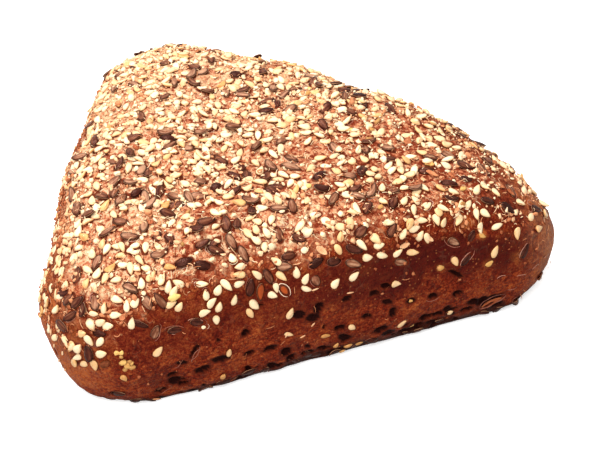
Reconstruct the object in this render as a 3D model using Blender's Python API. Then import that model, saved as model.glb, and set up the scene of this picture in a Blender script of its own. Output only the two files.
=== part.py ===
"""Triangular protein roll: one baked solid with sesame and linseed baked into its crust.

The roll is a rounded triangle seen from above.  Its outline is six arcs that meet without a
kink: one round each corner and one, bowed outwards, along each side.  The outline is carried
up a profile with a flat base, a foot that bulges to a waist, and a low domed crown, and the
crown sinks towards the corners.  The seeds are small lens shapes pressed into the crust and
fused to it by one Boolean union.

Units are metres, +Z is up.  The origin is on the base, under the middle of the outline's box,
and the longest wall runs along +X and faces -Y.
"""

import math

import bmesh
import bpy
import numpy as np
from mathutils import Matrix, Vector

# Outline: distances between the centres of the corner circles, and the radii of the arcs.
# A is the front left corner, B the right one, C the back left one.
LENGTH_AB = 0.0945
LENGTH_BC = 0.1030
LENGTH_CA = 0.0755
CORNER_RADII = (0.0208, 0.0154, 0.0152)
BOW_RADII = (2.5000, 0.1930, 0.2250)

# Profile: heights above the base, and how square the crown and the foot are.
HEIGHT = 0.0400
WAIST_HEIGHT = 0.0175
BASE_SHARE = 0.87
CROWN_SQUARENESS = 7.2
CROWN_FALL = 1.5
FOOT_POWER = 0.8
CORNER_DROOP = 0.46

# Unevenness of the baked dough: (amplitude, wavelength) of each wave laid over the surface, the
# angle of the first wave, how much further each next one is turned, how strong the waves that
# run up the walls are, and the height over which the unevenness fades out to the flat base.
SWELLS = ((0.00045, 0.047), (0.00035, 0.031), (0.00025, 0.019))
SWELL_FIRST_TURN = 0.7
SWELL_TURN_STEP = 1.9
SWELL_UPRIGHT_SHARE = 0.5
BASE_FADE = 0.004

# Mesh of the crust.
STEPS_ROUND = 56
RINGS_CROWN_TO_BASE = 19
OUTLINE_SAMPLES = 720

# Seeds: count, length, width, thickness, taper towards the tip, points round the rim.  Between
# rim and crest lies a ring, at a share of the rim's reach and a share of the half thickness.
LINSEED = {"count": 128, "length": 0.0048, "width": 0.0025, "thickness": 0.0016,
           "taper": 0.18, "rim": 7}
SESAME = {"count": 122, "length": 0.0034, "width": 0.0022, "thickness": 0.0015,
          "taper": 0.30, "rim": 6}
SEED_RING_SHARE = 0.66
SEED_RING_LIFT = 0.78
SEED_SUNK_SHARE = 0.22
SEED_SIZE_SPREAD = 0.12
SEED_TILT_SPREAD = math.radians(9.0)
SEED_FLOOR_GAP = 0.0006
SEED_CLEARANCE = 0.0008
CANDIDATES = 14
SEED_OF_DRAWS = 41

# Share of the top's seed density that each zone of the crust carries.
TOP_TILT = math.radians(38.0)
WALL_TILT = math.radians(66.0)
WALL_DENSITY = 0.10
FOOT_DENSITY = 0.45
FOOT_BAND = 0.0060

CRUST_COLOUR = (0.42, 0.19, 0.095, 1.0)
CRUST_ROUGHNESS = 0.62


def clear_scene():
    """Remove every object, so that the script starts from nothing."""
    for item in list(bpy.data.objects):
        bpy.data.objects.remove(item, do_unlink=True)


def crust_material():
    """Return the browned crust's material."""
    material = bpy.data.materials.new("crust")
    material.use_nodes = True
    shader = material.node_tree.nodes["Principled BSDF"]
    shader.inputs["Base Color"].default_value = CRUST_COLOUR
    shader.inputs["Roughness"].default_value = CRUST_ROUGHNESS
    shader.inputs["Metallic"].default_value = 0.0
    material.diffuse_color = CRUST_COLOUR
    return material


def corner_centres():
    """Return the centres of the three corner circles, the wall AB lying on y = 0."""
    radius_a, radius_b, _ = CORNER_RADII
    a = np.array([0.0, radius_a])
    b = np.array([math.sqrt(LENGTH_AB ** 2 - (radius_a - radius_b) ** 2), radius_b])
    along = (b - a) / LENGTH_AB
    across = np.array([-along[1], along[0]])
    foot = (LENGTH_CA ** 2 - LENGTH_BC ** 2 + LENGTH_AB ** 2) / (2 * LENGTH_AB)
    rise = math.sqrt(LENGTH_CA ** 2 - foot ** 2)
    return np.array([a, b, a + along * foot + across * rise])


def bow_centre(start, end, radius_start, radius_end, bow):
    """Return the centre of the arc of radius bow that is tangent outside two corner circles."""
    reach_start = bow - radius_start
    reach_end = bow - radius_end
    gap = end - start
    length = np.hypot(*gap)
    along = gap / length
    inwards = np.array([-along[1], along[0]])
    foot = (reach_start ** 2 - reach_end ** 2 + length ** 2) / (2 * length)
    return start + along * foot + inwards * math.sqrt(reach_start ** 2 - foot ** 2)


def arc(centre, radius, start, end, count):
    """Return points of an arc run anticlockwise from angle start to angle end."""
    turn = (end - start) % (2 * math.pi)
    angles = start + turn * np.linspace(0.0, 1.0, count, endpoint=False)
    return centre + radius * np.stack([np.cos(angles), np.sin(angles)], axis=1)


def outline(count):
    """Return count points evenly spaced round the outline, and the middle of its three corners.

    Both are moved so that the centre of the outline's box is the origin.
    """
    corners = corner_centres()
    bows = []
    for i in range(3):
        j = (i + 1) % 3
        bows.append(bow_centre(corners[i], corners[j], CORNER_RADII[i], CORNER_RADII[j], BOW_RADII[i]))
    pieces = []
    for i in range(3):
        j = (i + 1) % 3
        before = corners[i] - bows[i - 1]
        leave = corners[i] - bows[i]
        meet = corners[j] - bows[i]
        turn_in = math.atan2(before[1], before[0])
        turn_out = math.atan2(leave[1], leave[0])
        turn_next = math.atan2(meet[1], meet[0])
        pieces.append(arc(corners[i], CORNER_RADII[i], turn_in, turn_out, OUTLINE_SAMPLES))
        pieces.append(arc(bows[i], BOW_RADII[i], turn_out, turn_next, OUTLINE_SAMPLES))
    points = np.concatenate(pieces)
    middle = (points.min(axis=0) + points.max(axis=0)) / 2
    closed = np.concatenate([points, points[:1]])
    run = np.concatenate([[0.0], np.cumsum(np.hypot(*np.diff(closed, axis=0).T))])
    wanted = np.linspace(0.0, run[-1], count, endpoint=False)
    even = np.stack([np.interp(wanted, run, closed[:, axis]) for axis in range(2)], axis=1)
    return even - middle, corners.mean(axis=0) - middle


def profile(count, mean_radius):
    """Return shares of the outline and heights, evenly spaced from the crown's top to the foot."""
    share = np.sin(np.linspace(0.0, math.pi / 2, OUTLINE_SAMPLES))
    crown = (1 - share ** CROWN_SQUARENESS) ** (1 / CROWN_FALL)
    crown_height = WAIST_HEIGHT + (HEIGHT - WAIST_HEIGHT) * crown
    lift = np.linspace(math.pi / 2, 0.0, OUTLINE_SAMPLES)[1:]
    foot_share = BASE_SHARE + (1 - BASE_SHARE) * np.sin(lift) ** FOOT_POWER
    foot_height = WAIST_HEIGHT * (1 - np.cos(lift))
    shares = np.concatenate([share, foot_share])
    heights = np.concatenate([crown_height, foot_height])
    steps = np.hypot(np.diff(shares) * mean_radius, np.diff(heights))
    run = np.concatenate([[0.0], np.cumsum(steps)])
    wanted = np.linspace(0.0, run[-1], count)
    return np.interp(wanted, run, shares), np.interp(wanted, run, heights)


def swell(points):
    """Return how far the dough stands out at each point: crossed waves of three sizes."""
    total = np.zeros(points.shape[:-1])
    for order, (amplitude, wavelength) in enumerate(SWELLS):
        wave = 2 * math.pi / wavelength
        turn = SWELL_FIRST_TURN + SWELL_TURN_STEP * order
        across = points[..., 0] * math.cos(turn) + points[..., 1] * math.sin(turn)
        along = points[..., 1] * math.cos(turn) - points[..., 0] * math.sin(turn)
        total += amplitude * np.sin(wave * across + turn) * np.cos(wave * along + 2 * turn)
        upright = amplitude * SWELL_UPRIGHT_SHARE
        total += upright * np.sin(wave * points[..., 2] + wave * across + 3 * turn)
    return total


def crust_grid():
    """Return the crust's points, ring by ring from the crown down, and their outward normals."""
    rim, centre = outline(STEPS_ROUND)
    spokes = rim - centre
    reach = np.hypot(spokes[:, 0], spokes[:, 1])
    shares, heights = profile(RINGS_CROWN_TO_BASE, reach.mean())
    droop = CORNER_DROOP * np.maximum(reach / reach.mean() - 1, 0)
    grid = np.empty((RINGS_CROWN_TO_BASE, STEPS_ROUND, 3))
    grid[..., :2] = centre + spokes * shares[:, None, None]
    grid[..., 2] = heights[:, None] * (1 - droop * shares[:, None] ** 2)
    down = np.gradient(grid, axis=0)
    round_ = np.roll(grid, -1, axis=1) - np.roll(grid, 1, axis=1)
    normals = np.cross(down, round_)
    normals[0] = (0.0, 0.0, 1.0)
    normals /= np.linalg.norm(normals, axis=2, keepdims=True)
    fade = np.clip(grid[..., 2] / BASE_FADE, 0.0, 1.0)
    grid += normals * (swell(grid) * fade)[..., None]
    return grid, normals


def crust_mesh(grid):
    """Return the closed crust: a fan at the top, bands down to the foot, and a flat base."""
    builder = bmesh.new()
    top = builder.verts.new(grid[0].mean(axis=0))
    rings = [[builder.verts.new(point) for point in ring] for ring in grid[1:]]
    for step in range(STEPS_ROUND):
        after = (step + 1) % STEPS_ROUND
        builder.faces.new((top, rings[0][step], rings[0][after]))
        for upper, lower in zip(rings, rings[1:]):
            builder.faces.new((upper[step], lower[step], lower[after], upper[after]))
    builder.faces.new(list(reversed(rings[-1])))
    bmesh.ops.triangulate(builder, faces=builder.faces[:])
    mesh = bpy.data.meshes.new("roll")
    builder.to_mesh(mesh)
    builder.free()
    return mesh


def seed_mesh(kind, scale):
    """Return one seed: a rim tapering to a tip, a raised ring, a crest and a sunken point."""
    builder = bmesh.new()
    half_length = kind["length"] * scale / 2
    half_width = kind["width"] * scale / 2
    half_thickness = kind["thickness"] * scale / 2
    ring_height = SEED_RING_LIFT * half_thickness
    rim = []
    ring = []
    for step in range(kind["rim"]):
        angle = 2 * math.pi * step / kind["rim"]
        x = half_length * math.cos(angle)
        y = half_width * math.sin(angle) * (1 - kind["taper"] * math.cos(angle))
        rim.append(builder.verts.new((x, y, 0.0)))
        ring.append(builder.verts.new((SEED_RING_SHARE * x, SEED_RING_SHARE * y, ring_height)))
    crest = builder.verts.new((0.0, 0.0, half_thickness))
    root = builder.verts.new((0.0, 0.0, -half_thickness))
    for step in range(kind["rim"]):
        after = (step + 1) % kind["rim"]
        builder.faces.new((rim[step], rim[after], ring[after], ring[step]))
        builder.faces.new((ring[step], ring[after], crest))
        builder.faces.new((rim[after], rim[step], root))
    bmesh.ops.triangulate(builder, faces=builder.faces[:])
    mesh = bpy.data.meshes.new("seed")
    builder.to_mesh(mesh)
    builder.free()
    return mesh


def zone_density(height, tilt):
    """Return the share of the top's seeds that the crust carries at a height and a tilt."""
    fall = (tilt - TOP_TILT) / (WALL_TILT - TOP_TILT)
    density = 1 - (1 - WALL_DENSITY) * min(max(fall, 0.0), 1.0)
    if height < FOOT_BAND:
        density = FOOT_DENSITY
    return density


def scatter(grid, normals, draws):
    """Yield places for the seeds, largest kind first, each as far as it can be from the others."""
    steep = np.arccos(np.clip(normals[..., 2], -1.0, 1.0))
    near = np.linalg.norm(np.diff(grid, axis=0), axis=2)
    wide = np.linalg.norm(np.roll(grid, -1, axis=1) - grid, axis=2)[:-1]
    zones = np.vectorize(zone_density)(grid[:-1, :, 2], steep[:-1])
    weight = (near * wide * zones).ravel()
    weight /= weight.sum()
    placed = np.empty((0, 3))
    for kind in (LINSEED, SESAME):
        for _ in range(kind["count"]):
            cells = draws.choice(weight.size, size=CANDIDATES, p=weight)
            rows, steps = np.unravel_index(cells, zones.shape)
            down, along = draws.random((2, CANDIDATES, 1))
            after = (steps + 1) % STEPS_ROUND
            upper = grid[rows, steps] * (1 - along) + grid[rows, after] * along
            lower = grid[rows + 1, steps] * (1 - along) + grid[rows + 1, after] * along
            spots = upper * (1 - down) + lower * down
            if len(placed):
                gaps = np.linalg.norm(spots[:, None] - placed[None], axis=2).min(axis=1)
            else:
                gaps = np.ones(CANDIDATES)
            best = int(np.argmax(gaps * np.sqrt(zones[rows, steps])))
            spot = spots[best]
            if gaps[best] < kind["length"] + SEED_CLEARANCE:
                continue
            row = rows[best] + int(round(float(down[best, 0])))
            placed = np.concatenate([placed, spot[None]])
            yield kind, Vector(spot), Vector(normals[row, steps[best]])


def place_seeds(grid, normals):
    """Return a collection of seeds lying on the crust, none of them reaching the base."""
    draws = np.random.default_rng(SEED_OF_DRAWS)
    heap = bpy.data.collections.new("seeds")
    bpy.context.scene.collection.children.link(heap)
    for kind, spot, normal in scatter(grid, normals, draws):
        scale = 1 + SEED_SIZE_SPREAD * draws.uniform(-1.0, 1.0)
        lean = Matrix.Rotation(SEED_TILT_SPREAD * draws.uniform(-1.0, 1.0), 4, "Y")
        spin = Matrix.Rotation(draws.uniform(0.0, 2 * math.pi), 4, "Z")
        stand = normal.to_track_quat("Z", "Y").to_matrix().to_4x4()
        lift = normal * kind["thickness"] * (0.5 - SEED_SUNK_SHARE) * scale
        mesh = seed_mesh(kind, scale)
        mesh.transform(Matrix.Translation(spot + lift) @ stand @ spin @ lean)
        if min(vertex.co.z for vertex in mesh.vertices) < SEED_FLOOR_GAP:
            bpy.data.meshes.remove(mesh)
            continue
        heap.objects.link(bpy.data.objects.new("seed", mesh))
    return heap


def fuse(body, heap):
    """Join the seeds to the body by one applied union, then remove the loose seeds."""
    union = body.modifiers.new("seeds", "BOOLEAN")
    union.operation = "UNION"
    union.operand_type = "COLLECTION"
    union.collection = heap
    union.solver = "EXACT"
    view = bpy.context.evaluated_depsgraph_get()
    fused = bpy.data.meshes.new_from_object(body.evaluated_get(view), depsgraph=view)
    body.modifiers.clear()
    plain = body.data
    body.data = fused
    fused.name = body.name
    bpy.data.meshes.remove(plain)
    for item in list(heap.objects):
        bpy.data.objects.remove(item, do_unlink=True)
    bpy.data.collections.remove(heap)


def build():
    """Model the roll."""
    clear_scene()
    grid, normals = crust_grid()
    roll = bpy.data.objects.new("roll", crust_mesh(grid))
    bpy.context.scene.collection.objects.link(roll)
    roll.data.materials.append(crust_material())
    fuse(roll, place_seeds(grid, normals))


build()
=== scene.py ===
"""Looks of a triangular protein roll: its crust, seeds, bran and grit, with light and a camera.

Units are metres and +Z is up.  The origin is on the base, under the middle of the outline's
box, and the longest wall faces -Y.  The crust repeats the outline and the profile that the
solid roll is made with, and carries the fine relief that the solid leaves out.
"""

import logging
import math
from collections.abc import Callable
from dataclasses import dataclass, field, fields
from enum import Enum

import bpy
import numpy as np
from mathutils import Matrix

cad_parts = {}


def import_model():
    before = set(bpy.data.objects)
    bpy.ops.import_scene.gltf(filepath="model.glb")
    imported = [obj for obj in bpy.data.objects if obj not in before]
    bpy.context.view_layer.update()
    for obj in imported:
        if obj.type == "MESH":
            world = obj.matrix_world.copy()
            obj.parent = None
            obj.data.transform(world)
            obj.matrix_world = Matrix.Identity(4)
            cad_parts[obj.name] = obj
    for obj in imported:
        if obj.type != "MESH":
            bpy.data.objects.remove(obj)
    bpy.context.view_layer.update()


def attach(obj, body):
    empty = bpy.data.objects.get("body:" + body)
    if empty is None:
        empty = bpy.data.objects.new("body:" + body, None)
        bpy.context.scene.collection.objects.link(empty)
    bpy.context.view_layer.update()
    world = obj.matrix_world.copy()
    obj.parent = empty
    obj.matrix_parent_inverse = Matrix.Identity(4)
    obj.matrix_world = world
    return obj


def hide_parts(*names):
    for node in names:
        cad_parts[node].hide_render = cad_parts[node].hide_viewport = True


LOG = logging.getLogger("protein_roll")
MM = 0.001
BODY = "root"
NODE = "roll"
FULL_TURN = 2 * math.pi
Span = tuple[float, float]
Array = np.ndarray
Share = Callable[[np.ndarray, np.ndarray], np.ndarray]
Socket = bpy.types.NodeSocket
Piece = bpy.types.Object


# ---- Small helpers on arrays ----


def ease(values: Array, start: float, end: float) -> Array:
    """Return 0 before start and 1 after end, joined by the smooth step 3t^2 - 2t^3.

    Args:
        values: Any array.
        start: Value where the step begins; it may lie above end.
        end: Value where the step is complete.

    Returns:
        An array of the same shape, from 0 to 1.
    """
    share = np.clip((values - start) / (end - start), 0.0, 1.0)
    return share * share * (3 - 2 * share)


def ease_mm(values: Array, start: float, end: float) -> Array:
    """Return the smooth step of lengths between two that are given in millimetres."""
    return ease(values, start * MM, end * MM)


def tilt_of(normals: Array) -> Array:
    """Return how steep places with these normals are, in degrees from level."""
    return np.degrees(np.arccos(np.clip(normals[..., 2], -1.0, 1.0)))


def unit(vectors: Array) -> Array:
    """Return the vectors of the last axis at length one."""
    return vectors / np.maximum(np.linalg.norm(vectors, axis=-1, keepdims=True), 1e-12)


def lattice_values(cells: Array, salt: int) -> Array:
    """Return a fixed pseudo-random value from 0 to 1 for each whole-numbered lattice cell.

    The three cell numbers and the salt are multiplied by large odd numbers, combined with
    exclusive or, and folded onto themselves twice.

    Args:
        cells: Whole numbers, with x, y and z on the last axis.
        salt: Number that tells one noise from another.

    Returns:
        One value for each cell.
    """
    mixed = (cells[..., 0] * 73856093) ^ (cells[..., 1] * 19349663) ^ (cells[..., 2] * 83492791)
    mixed = (mixed ^ (salt * 2654435761)) & 0xFFFFFFFF
    mixed = ((mixed ^ (mixed >> 13)) * 1274126177) & 0xFFFFFFFF
    mixed = mixed ^ (mixed >> 16)
    return (mixed & 0xFFFF) / 65535.0


def value_noise(points: Array, cell: float, salt: int) -> Array:
    """Return noise from -1 to 1: lattice values blended by the smooth step along each axis.

    Args:
        points: Places, with x, y and z on the last axis.
        cell: Edge of a lattice cell, about half the width of a bump.
        salt: Number that tells one noise from another.

    Returns:
        One value for each point.
    """
    scaled = points / cell
    low = np.floor(scaled).astype(np.int64)
    part = scaled - low
    part = part * part * (3 - 2 * part)
    total = np.zeros(points.shape[:-1])
    for corner in range(8):
        step = np.array([corner & 1, (corner >> 1) & 1, (corner >> 2) & 1])
        weight = np.prod(np.where(step == 1, part, 1 - part), axis=-1)
        total += weight * lattice_values(low + step, salt)
    return 2 * total - 1


def turned_frames(normals: Array, along: Array) -> Array:
    """Return frames whose third row is the normal and whose first row leans towards along.

    Args:
        normals: Unit normals, one row each.
        along: Wanted directions of the first axis, of which the part along the normal is dropped.

    Returns:
        Matrices of shape (n, 3, 3); their rows are the piece's own x, y and z.
    """
    first = unit(along - normals * np.sum(along * normals, axis=-1, keepdims=True))
    second = np.cross(normals, first)
    return np.stack([first, second, normals], axis=-2)


def fill_mesh(name: str, points: Array, corners: Array, sizes: Array) -> Piece:
    """Return a smooth-shaded object made from flat arrays.

    Args:
        name: Name of the piece.
        points: Vertices, one row each.
        corners: Vertex numbers of every face, one face after another.
        sizes: How many corners each face has.

    Returns:
        The linked object, at the origin.
    """
    mesh = bpy.data.meshes.new(name)
    mesh.vertices.add(len(points))
    mesh.vertices.foreach_set("co", np.ascontiguousarray(points, np.float32).ravel())
    mesh.loops.add(len(corners))
    mesh.loops.foreach_set("vertex_index", corners.astype(np.int32))
    mesh.polygons.add(len(sizes))
    starts = np.concatenate([[0], np.cumsum(sizes)[:-1]])
    mesh.polygons.foreach_set("loop_start", starts.astype(np.int32))
    mesh.polygons.foreach_set("use_smooth", np.ones(len(sizes), bool))
    mesh.update(calc_edges=True)
    mesh.validate()
    piece = bpy.data.objects.new(name, mesh)
    bpy.context.scene.collection.objects.link(piece)
    return piece


def fill_copies(name: str, points: Array, faces: tuple[Array, Array]) -> Piece:
    """Return one mesh of many copies of a shape.

    Args:
        name: Name of the piece.
        points: Vertices, of shape (copies, vertices of one copy, 3).
        faces: The face corners and the face sizes of one copy.

    Returns:
        The linked object.
    """
    corners, sizes = faces
    count, each, _ = points.shape
    offsets = (np.arange(count) * each)[:, None]
    return fill_mesh(name, points.reshape(-1, 3), (corners[None] + offsets).ravel(), np.tile(sizes, count))


def paint(piece: Piece, name: str, values: Array) -> None:
    """Store one number for each vertex of the piece under the attribute's name."""
    layer = piece.data.attributes.new(name, "FLOAT", "POINT")
    layer.data.foreach_set("value", np.ascontiguousarray(values, np.float32).ravel())


BACK_LEFT_MM = (-20.0, 55.0)
FRONT_MM = (4.0, 30.0)
RIGHT_MM = (22.0, 50.0)
LEFT_FLANK_FACING = (0.30, 0.85)
LEFT_FLANK_HEIGHT_MM = (9.0, 17.0)
LEFT_FLANK_EASING = 24.0


def back_left(points: Array) -> Array:
    """Return how far points lie towards the roll's mealy back left, from 0 to 1."""
    return ease_mm(points[..., 1] - 0.6 * points[..., 0], *BACK_LEFT_MM)


def front_right(points: Array) -> Array:
    """Return how far points lie towards the roll's bare front and right corner, from 0 to 1."""
    return np.maximum(ease_mm(-points[..., 1], *FRONT_MM), ease_mm(points[..., 0], *RIGHT_MM))


def seeded_tilt(points: Array, normals: Array) -> Array:
    """Return how steep places are, in degrees from level, as the topping takes it.

    It hangs on further down the flank that faces left, which counts as less steep than it is.

    Args:
        points: Places on the roll.
        normals: Outward normals there.

    Returns:
        The angles.
    """
    left = ease(-normals[..., 0], *LEFT_FLANK_FACING) * ease_mm(points[..., 2], *LEFT_FLANK_HEIGHT_MM)
    return tilt_of(normals) - LEFT_FLANK_EASING * left


# ---- The form of the roll ----


@dataclass
class RollForm:
    """The smooth form of the roll, as the solid has it: an outline of six arcs on a profile.

    Corner circles A (front left), B (right) and C (back left) are joined by bowed sides.
    """

    length_ab: float = 94.5 * MM
    length_bc: float = 103.0 * MM
    length_ca: float = 75.5 * MM
    corner_radii: tuple[float, float, float] = (20.8 * MM, 15.4 * MM, 15.2 * MM)
    bow_radii: tuple[float, float, float] = (2.5, 0.193, 0.225)
    height: float = 40.0 * MM
    waist_height: float = 17.5 * MM
    base_share: float = 0.87
    crown_squareness: float = 7.2
    crown_fall: float = 1.5
    foot_power: float = 0.8
    corner_droop: float = 0.46
    swells: tuple[tuple[float, float], ...] = ((0.45 * MM, 0.047), (0.35 * MM, 0.031), (0.25 * MM, 0.019))
    base_fade: float = 4.0 * MM
    samples: int = 720
    rim: Array = field(init=False)
    centre: Array = field(init=False)
    reach: Array = field(init=False)
    shares: Array = field(init=False)
    heights: Array = field(init=False)

    def __post_init__(self) -> None:
        """Work out the outline and the profile once, as fine tables that are read in between."""
        self.rim, self.centre = self.outline()
        self.reach = np.hypot(*(self.rim - self.centre).T)
        self.shares, self.heights = self.profile()

    def corner_centres(self) -> Array:
        """Return the centres of the corner circles, with the wall AB lying on y = 0.

        Returns:
            Three points, for the corners A, B and C.
        """
        radius_a, radius_b, _ = self.corner_radii
        a = np.array([0.0, radius_a])
        b = np.array([math.sqrt(self.length_ab ** 2 - (radius_a - radius_b) ** 2), radius_b])
        along = (b - a) / self.length_ab
        across = np.array([-along[1], along[0]])
        foot = (self.length_ca ** 2 - self.length_bc ** 2 + self.length_ab ** 2) / (2 * self.length_ab)
        rise = math.sqrt(self.length_ca ** 2 - foot ** 2)
        return np.array([a, b, a + along * foot + across * rise])

    def bow_centre(self, corners: Array, side: int) -> Array:
        """Return the centre of the arc along a side, tangent to its two corner circles.

        Args:
            corners: The centres of the corner circles.
            side: Number of the side, 0 for AB, 1 for BC and 2 for CA.

        Returns:
            The centre, in the plane of the base.
        """
        start, end = corners[side], corners[(side + 1) % 3]
        reach_start = self.bow_radii[side] - self.corner_radii[side]
        reach_end = self.bow_radii[side] - self.corner_radii[(side + 1) % 3]
        length = np.hypot(*(end - start))
        along = (end - start) / length
        inwards = np.array([-along[1], along[0]])
        foot = (reach_start ** 2 - reach_end ** 2 + length ** 2) / (2 * length)
        return start + along * foot + inwards * math.sqrt(reach_start ** 2 - foot ** 2)

    def arc(self, centre: Array, radius: float, start: Array, end: Array) -> Array:
        """Return points of an anticlockwise arc from the direction start to the direction end.

        Args:
            centre: Middle of the circle.
            radius: Its radius.
            start: Direction of the first point from the middle.
            end: Direction of the last point.

        Returns:
            The points, one a row.
        """
        first = math.atan2(start[1], start[0])
        turn = (math.atan2(end[1], end[0]) - first) % FULL_TURN
        angles = first + turn * np.linspace(0.0, 1.0, self.samples, endpoint=False)
        return centre + radius * np.stack([np.cos(angles), np.sin(angles)], axis=1)

    def outline(self) -> tuple[Array, Array]:
        """Return points evenly spaced round the outline and its middle, on the box's centre.

        Each corner arc runs between the directions in which its two bow centres see the corner,
        and each bow arc between its two corners, so all six meet with a common tangent.

        Returns:
            The points, the first one repeated at the end, and the centre of the spokes.
        """
        corners = self.corner_centres()
        bows = [self.bow_centre(corners, side) for side in range(3)]
        pieces = []
        for side in range(3):
            after = (side + 1) % 3
            before, leave = corners[side] - bows[side - 1], corners[side] - bows[side]
            meet = corners[after] - bows[side]
            pieces.append(self.arc(corners[side], self.corner_radii[side], before, leave))
            pieces.append(self.arc(bows[side], self.bow_radii[side], leave, meet))
        points = np.concatenate(pieces)
        middle = (points.min(axis=0) + points.max(axis=0)) / 2
        closed = np.concatenate([points, points[:1]])
        run = np.concatenate([[0.0], np.cumsum(np.hypot(*np.diff(closed, axis=0).T))])
        wanted = np.linspace(0.0, run[-1], 6 * self.samples + 1)
        even = np.stack([np.interp(wanted, run, closed[:, axis]) for axis in range(2)], axis=1)
        return even - middle, corners.mean(axis=0) - middle

    def profile(self) -> tuple[Array, Array]:
        """Return shares of the outline and heights, evenly spaced from the crown to the foot.

        The crown's height is waist + (height - waist) (1 - share^squareness)^(1 / fall).  The
        foot curls in from the waist to the base share as the sine of a quarter turn, and its
        height is the waist times one minus the cosine.

        Returns:
            Shares and heights, the same number of each.
        """
        share = np.sin(np.linspace(0.0, math.pi / 2, self.samples))
        crown = (1 - share ** self.crown_squareness) ** (1 / self.crown_fall)
        crown_height = self.waist_height + (self.height - self.waist_height) * crown
        lift = np.linspace(math.pi / 2, 0.0, self.samples)[1:]
        foot_share = self.base_share + (1 - self.base_share) * np.sin(lift) ** self.foot_power
        shares = np.concatenate([share, foot_share])
        heights = np.concatenate([crown_height, self.waist_height * (1 - np.cos(lift))])
        steps = np.hypot(np.diff(shares) * self.reach.mean(), np.diff(heights))
        run = np.concatenate([[0.0], np.cumsum(steps)])
        wanted = np.linspace(0.0, run[-1], 4 * self.samples)
        return np.interp(wanted, run, shares), np.interp(wanted, run, heights)

    def place(self, turn: Array, drop: Array) -> Array:
        """Return points of the smooth form.

        A point lies on the spoke from the centre to the outline, at the profile's share, and at
        the profile's height, which sinks where the spoke is longer than the mean.

        Args:
            turn: Share of the way round the outline, from 0 to 1.
            drop: Share of the way down the profile, from 0 at the crown to 1 at the foot.

        Returns:
            The points, with x, y and z on the last axis.
        """
        steps = np.linspace(0.0, 1.0, len(self.rim))
        turn = np.mod(turn, 1.0)
        rim = np.stack([np.interp(turn, steps, self.rim[:, axis]) for axis in range(2)], axis=-1)
        down = np.linspace(0.0, 1.0, len(self.shares))
        share = np.interp(drop, down, self.shares)
        height = np.interp(drop, down, self.heights)
        spokes = rim - self.centre
        longer = np.maximum(np.hypot(spokes[..., 0], spokes[..., 1]) / self.reach.mean() - 1, 0)
        flat = self.centre + spokes * share[..., None]
        height = height * (1 - self.corner_droop * longer * share ** 2)
        return np.concatenate([flat, height[..., None]], axis=-1)

    def normals(self, turn: Array, drop: Array) -> Array:
        """Return outward normals: the cross product of small steps down and round the form.

        Args:
            turn: Way round the outline, from 0 to 1.
            drop: Way down the profile, from 0 to 1.

        Returns:
            Unit normals of the same shape.
        """
        step = 1e-3
        down = self.place(turn, np.minimum(drop + step, 1.0)) - self.place(turn, np.maximum(drop - step, 0.0))
        round_ = self.place(turn + step, drop) - self.place(turn - step, drop)
        normals = np.cross(down, round_)
        normals[drop < 2 * step] = (0.0, 0.0, 1.0)
        return unit(normals)

    def swell(self, points: Array) -> Array:
        """Return how far the dough stands out: crossed sine waves of three sizes, laid askew.

        Args:
            points: Places in metres, the last axis x, y, z.

        Returns:
            Distances in metres.
        """
        total = np.zeros(points.shape[:-1])
        for order, (amplitude, wavelength) in enumerate(self.swells):
            wave = FULL_TURN / wavelength
            turn = 0.7 + 1.9 * order
            across = points[..., 0] * math.cos(turn) + points[..., 1] * math.sin(turn)
            along = points[..., 1] * math.cos(turn) - points[..., 0] * math.sin(turn)
            total += amplitude * np.sin(wave * across + turn) * np.cos(wave * along + 2 * turn)
            total += 0.5 * amplitude * np.sin(wave * points[..., 2] + wave * across + 3 * turn)
        return total


# ---- The camera ----


@dataclass
class Viewpoint:
    """Where the photographer stood: a camera that looks at the roll from the front left."""

    azimuth: float = math.radians(-20.14)
    elevation: float = math.radians(42.0)
    distance: float = 0.400
    target: tuple[float, float, float] = (2.73 * MM, -22.93 * MM, 20.5 * MM)
    lens_mm: float = 94.98
    sensor_mm: float = 36.0
    frame_width_px: float = 600.0
    frame_height_px: float = 450.0

    def axes(self) -> Array:
        """Return the picture's right and up directions and the direction back to the camera.

        Returns:
            Three unit rows.
        """
        back = np.array([math.sin(self.azimuth) * math.cos(self.elevation),
                         -math.cos(self.azimuth) * math.cos(self.elevation), math.sin(self.elevation)])
        right = np.array([math.cos(self.azimuth), math.sin(self.azimuth), 0.0])
        return np.stack([right, np.cross(back, right), back])

    def eye(self) -> Array:
        """Return where the camera stands."""
        return np.array(self.target) + self.axes()[2] * self.distance

    def project(self, points: Array) -> tuple[Array, Array]:
        """Return where points show in the 600 by 450 picture, and how deep they lie.

        Args:
            points: Places, one row each.

        Returns:
            Columns and rows in pixels from the upper left, and distances along the view.
        """
        local = (points - self.eye()) @ self.axes().T
        depth = -local[:, 2]
        focal = self.lens_mm / self.sensor_mm * self.frame_width_px
        across = self.frame_width_px / 2 + focal * local[:, 0] / depth
        down = self.frame_height_px / 2 - focal * local[:, 1] / depth
        return np.stack([across, down], axis=1), depth

    def build(self) -> Piece:
        """Make the camera and set it as the scene's.

        Returns:
            The camera's object.
        """
        data = bpy.data.cameras.new("camera")
        data.lens = self.lens_mm
        data.sensor_width = self.sensor_mm
        data.clip_start = 0.01
        data.clip_end = 20.0
        camera = bpy.data.objects.new("camera", data)
        matrix = np.eye(4)
        matrix[:3, :3] = self.axes().T
        matrix[:3, 3] = self.eye()
        camera.matrix_world = Matrix(matrix.tolist())
        bpy.context.scene.collection.objects.link(camera)
        bpy.context.scene.camera = camera
        return camera


# ---- Finishes ----

Colour = tuple[float, float, float]
Stops = tuple[tuple[float, Colour], ...]
Mottle = tuple[float, float, float]


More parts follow.
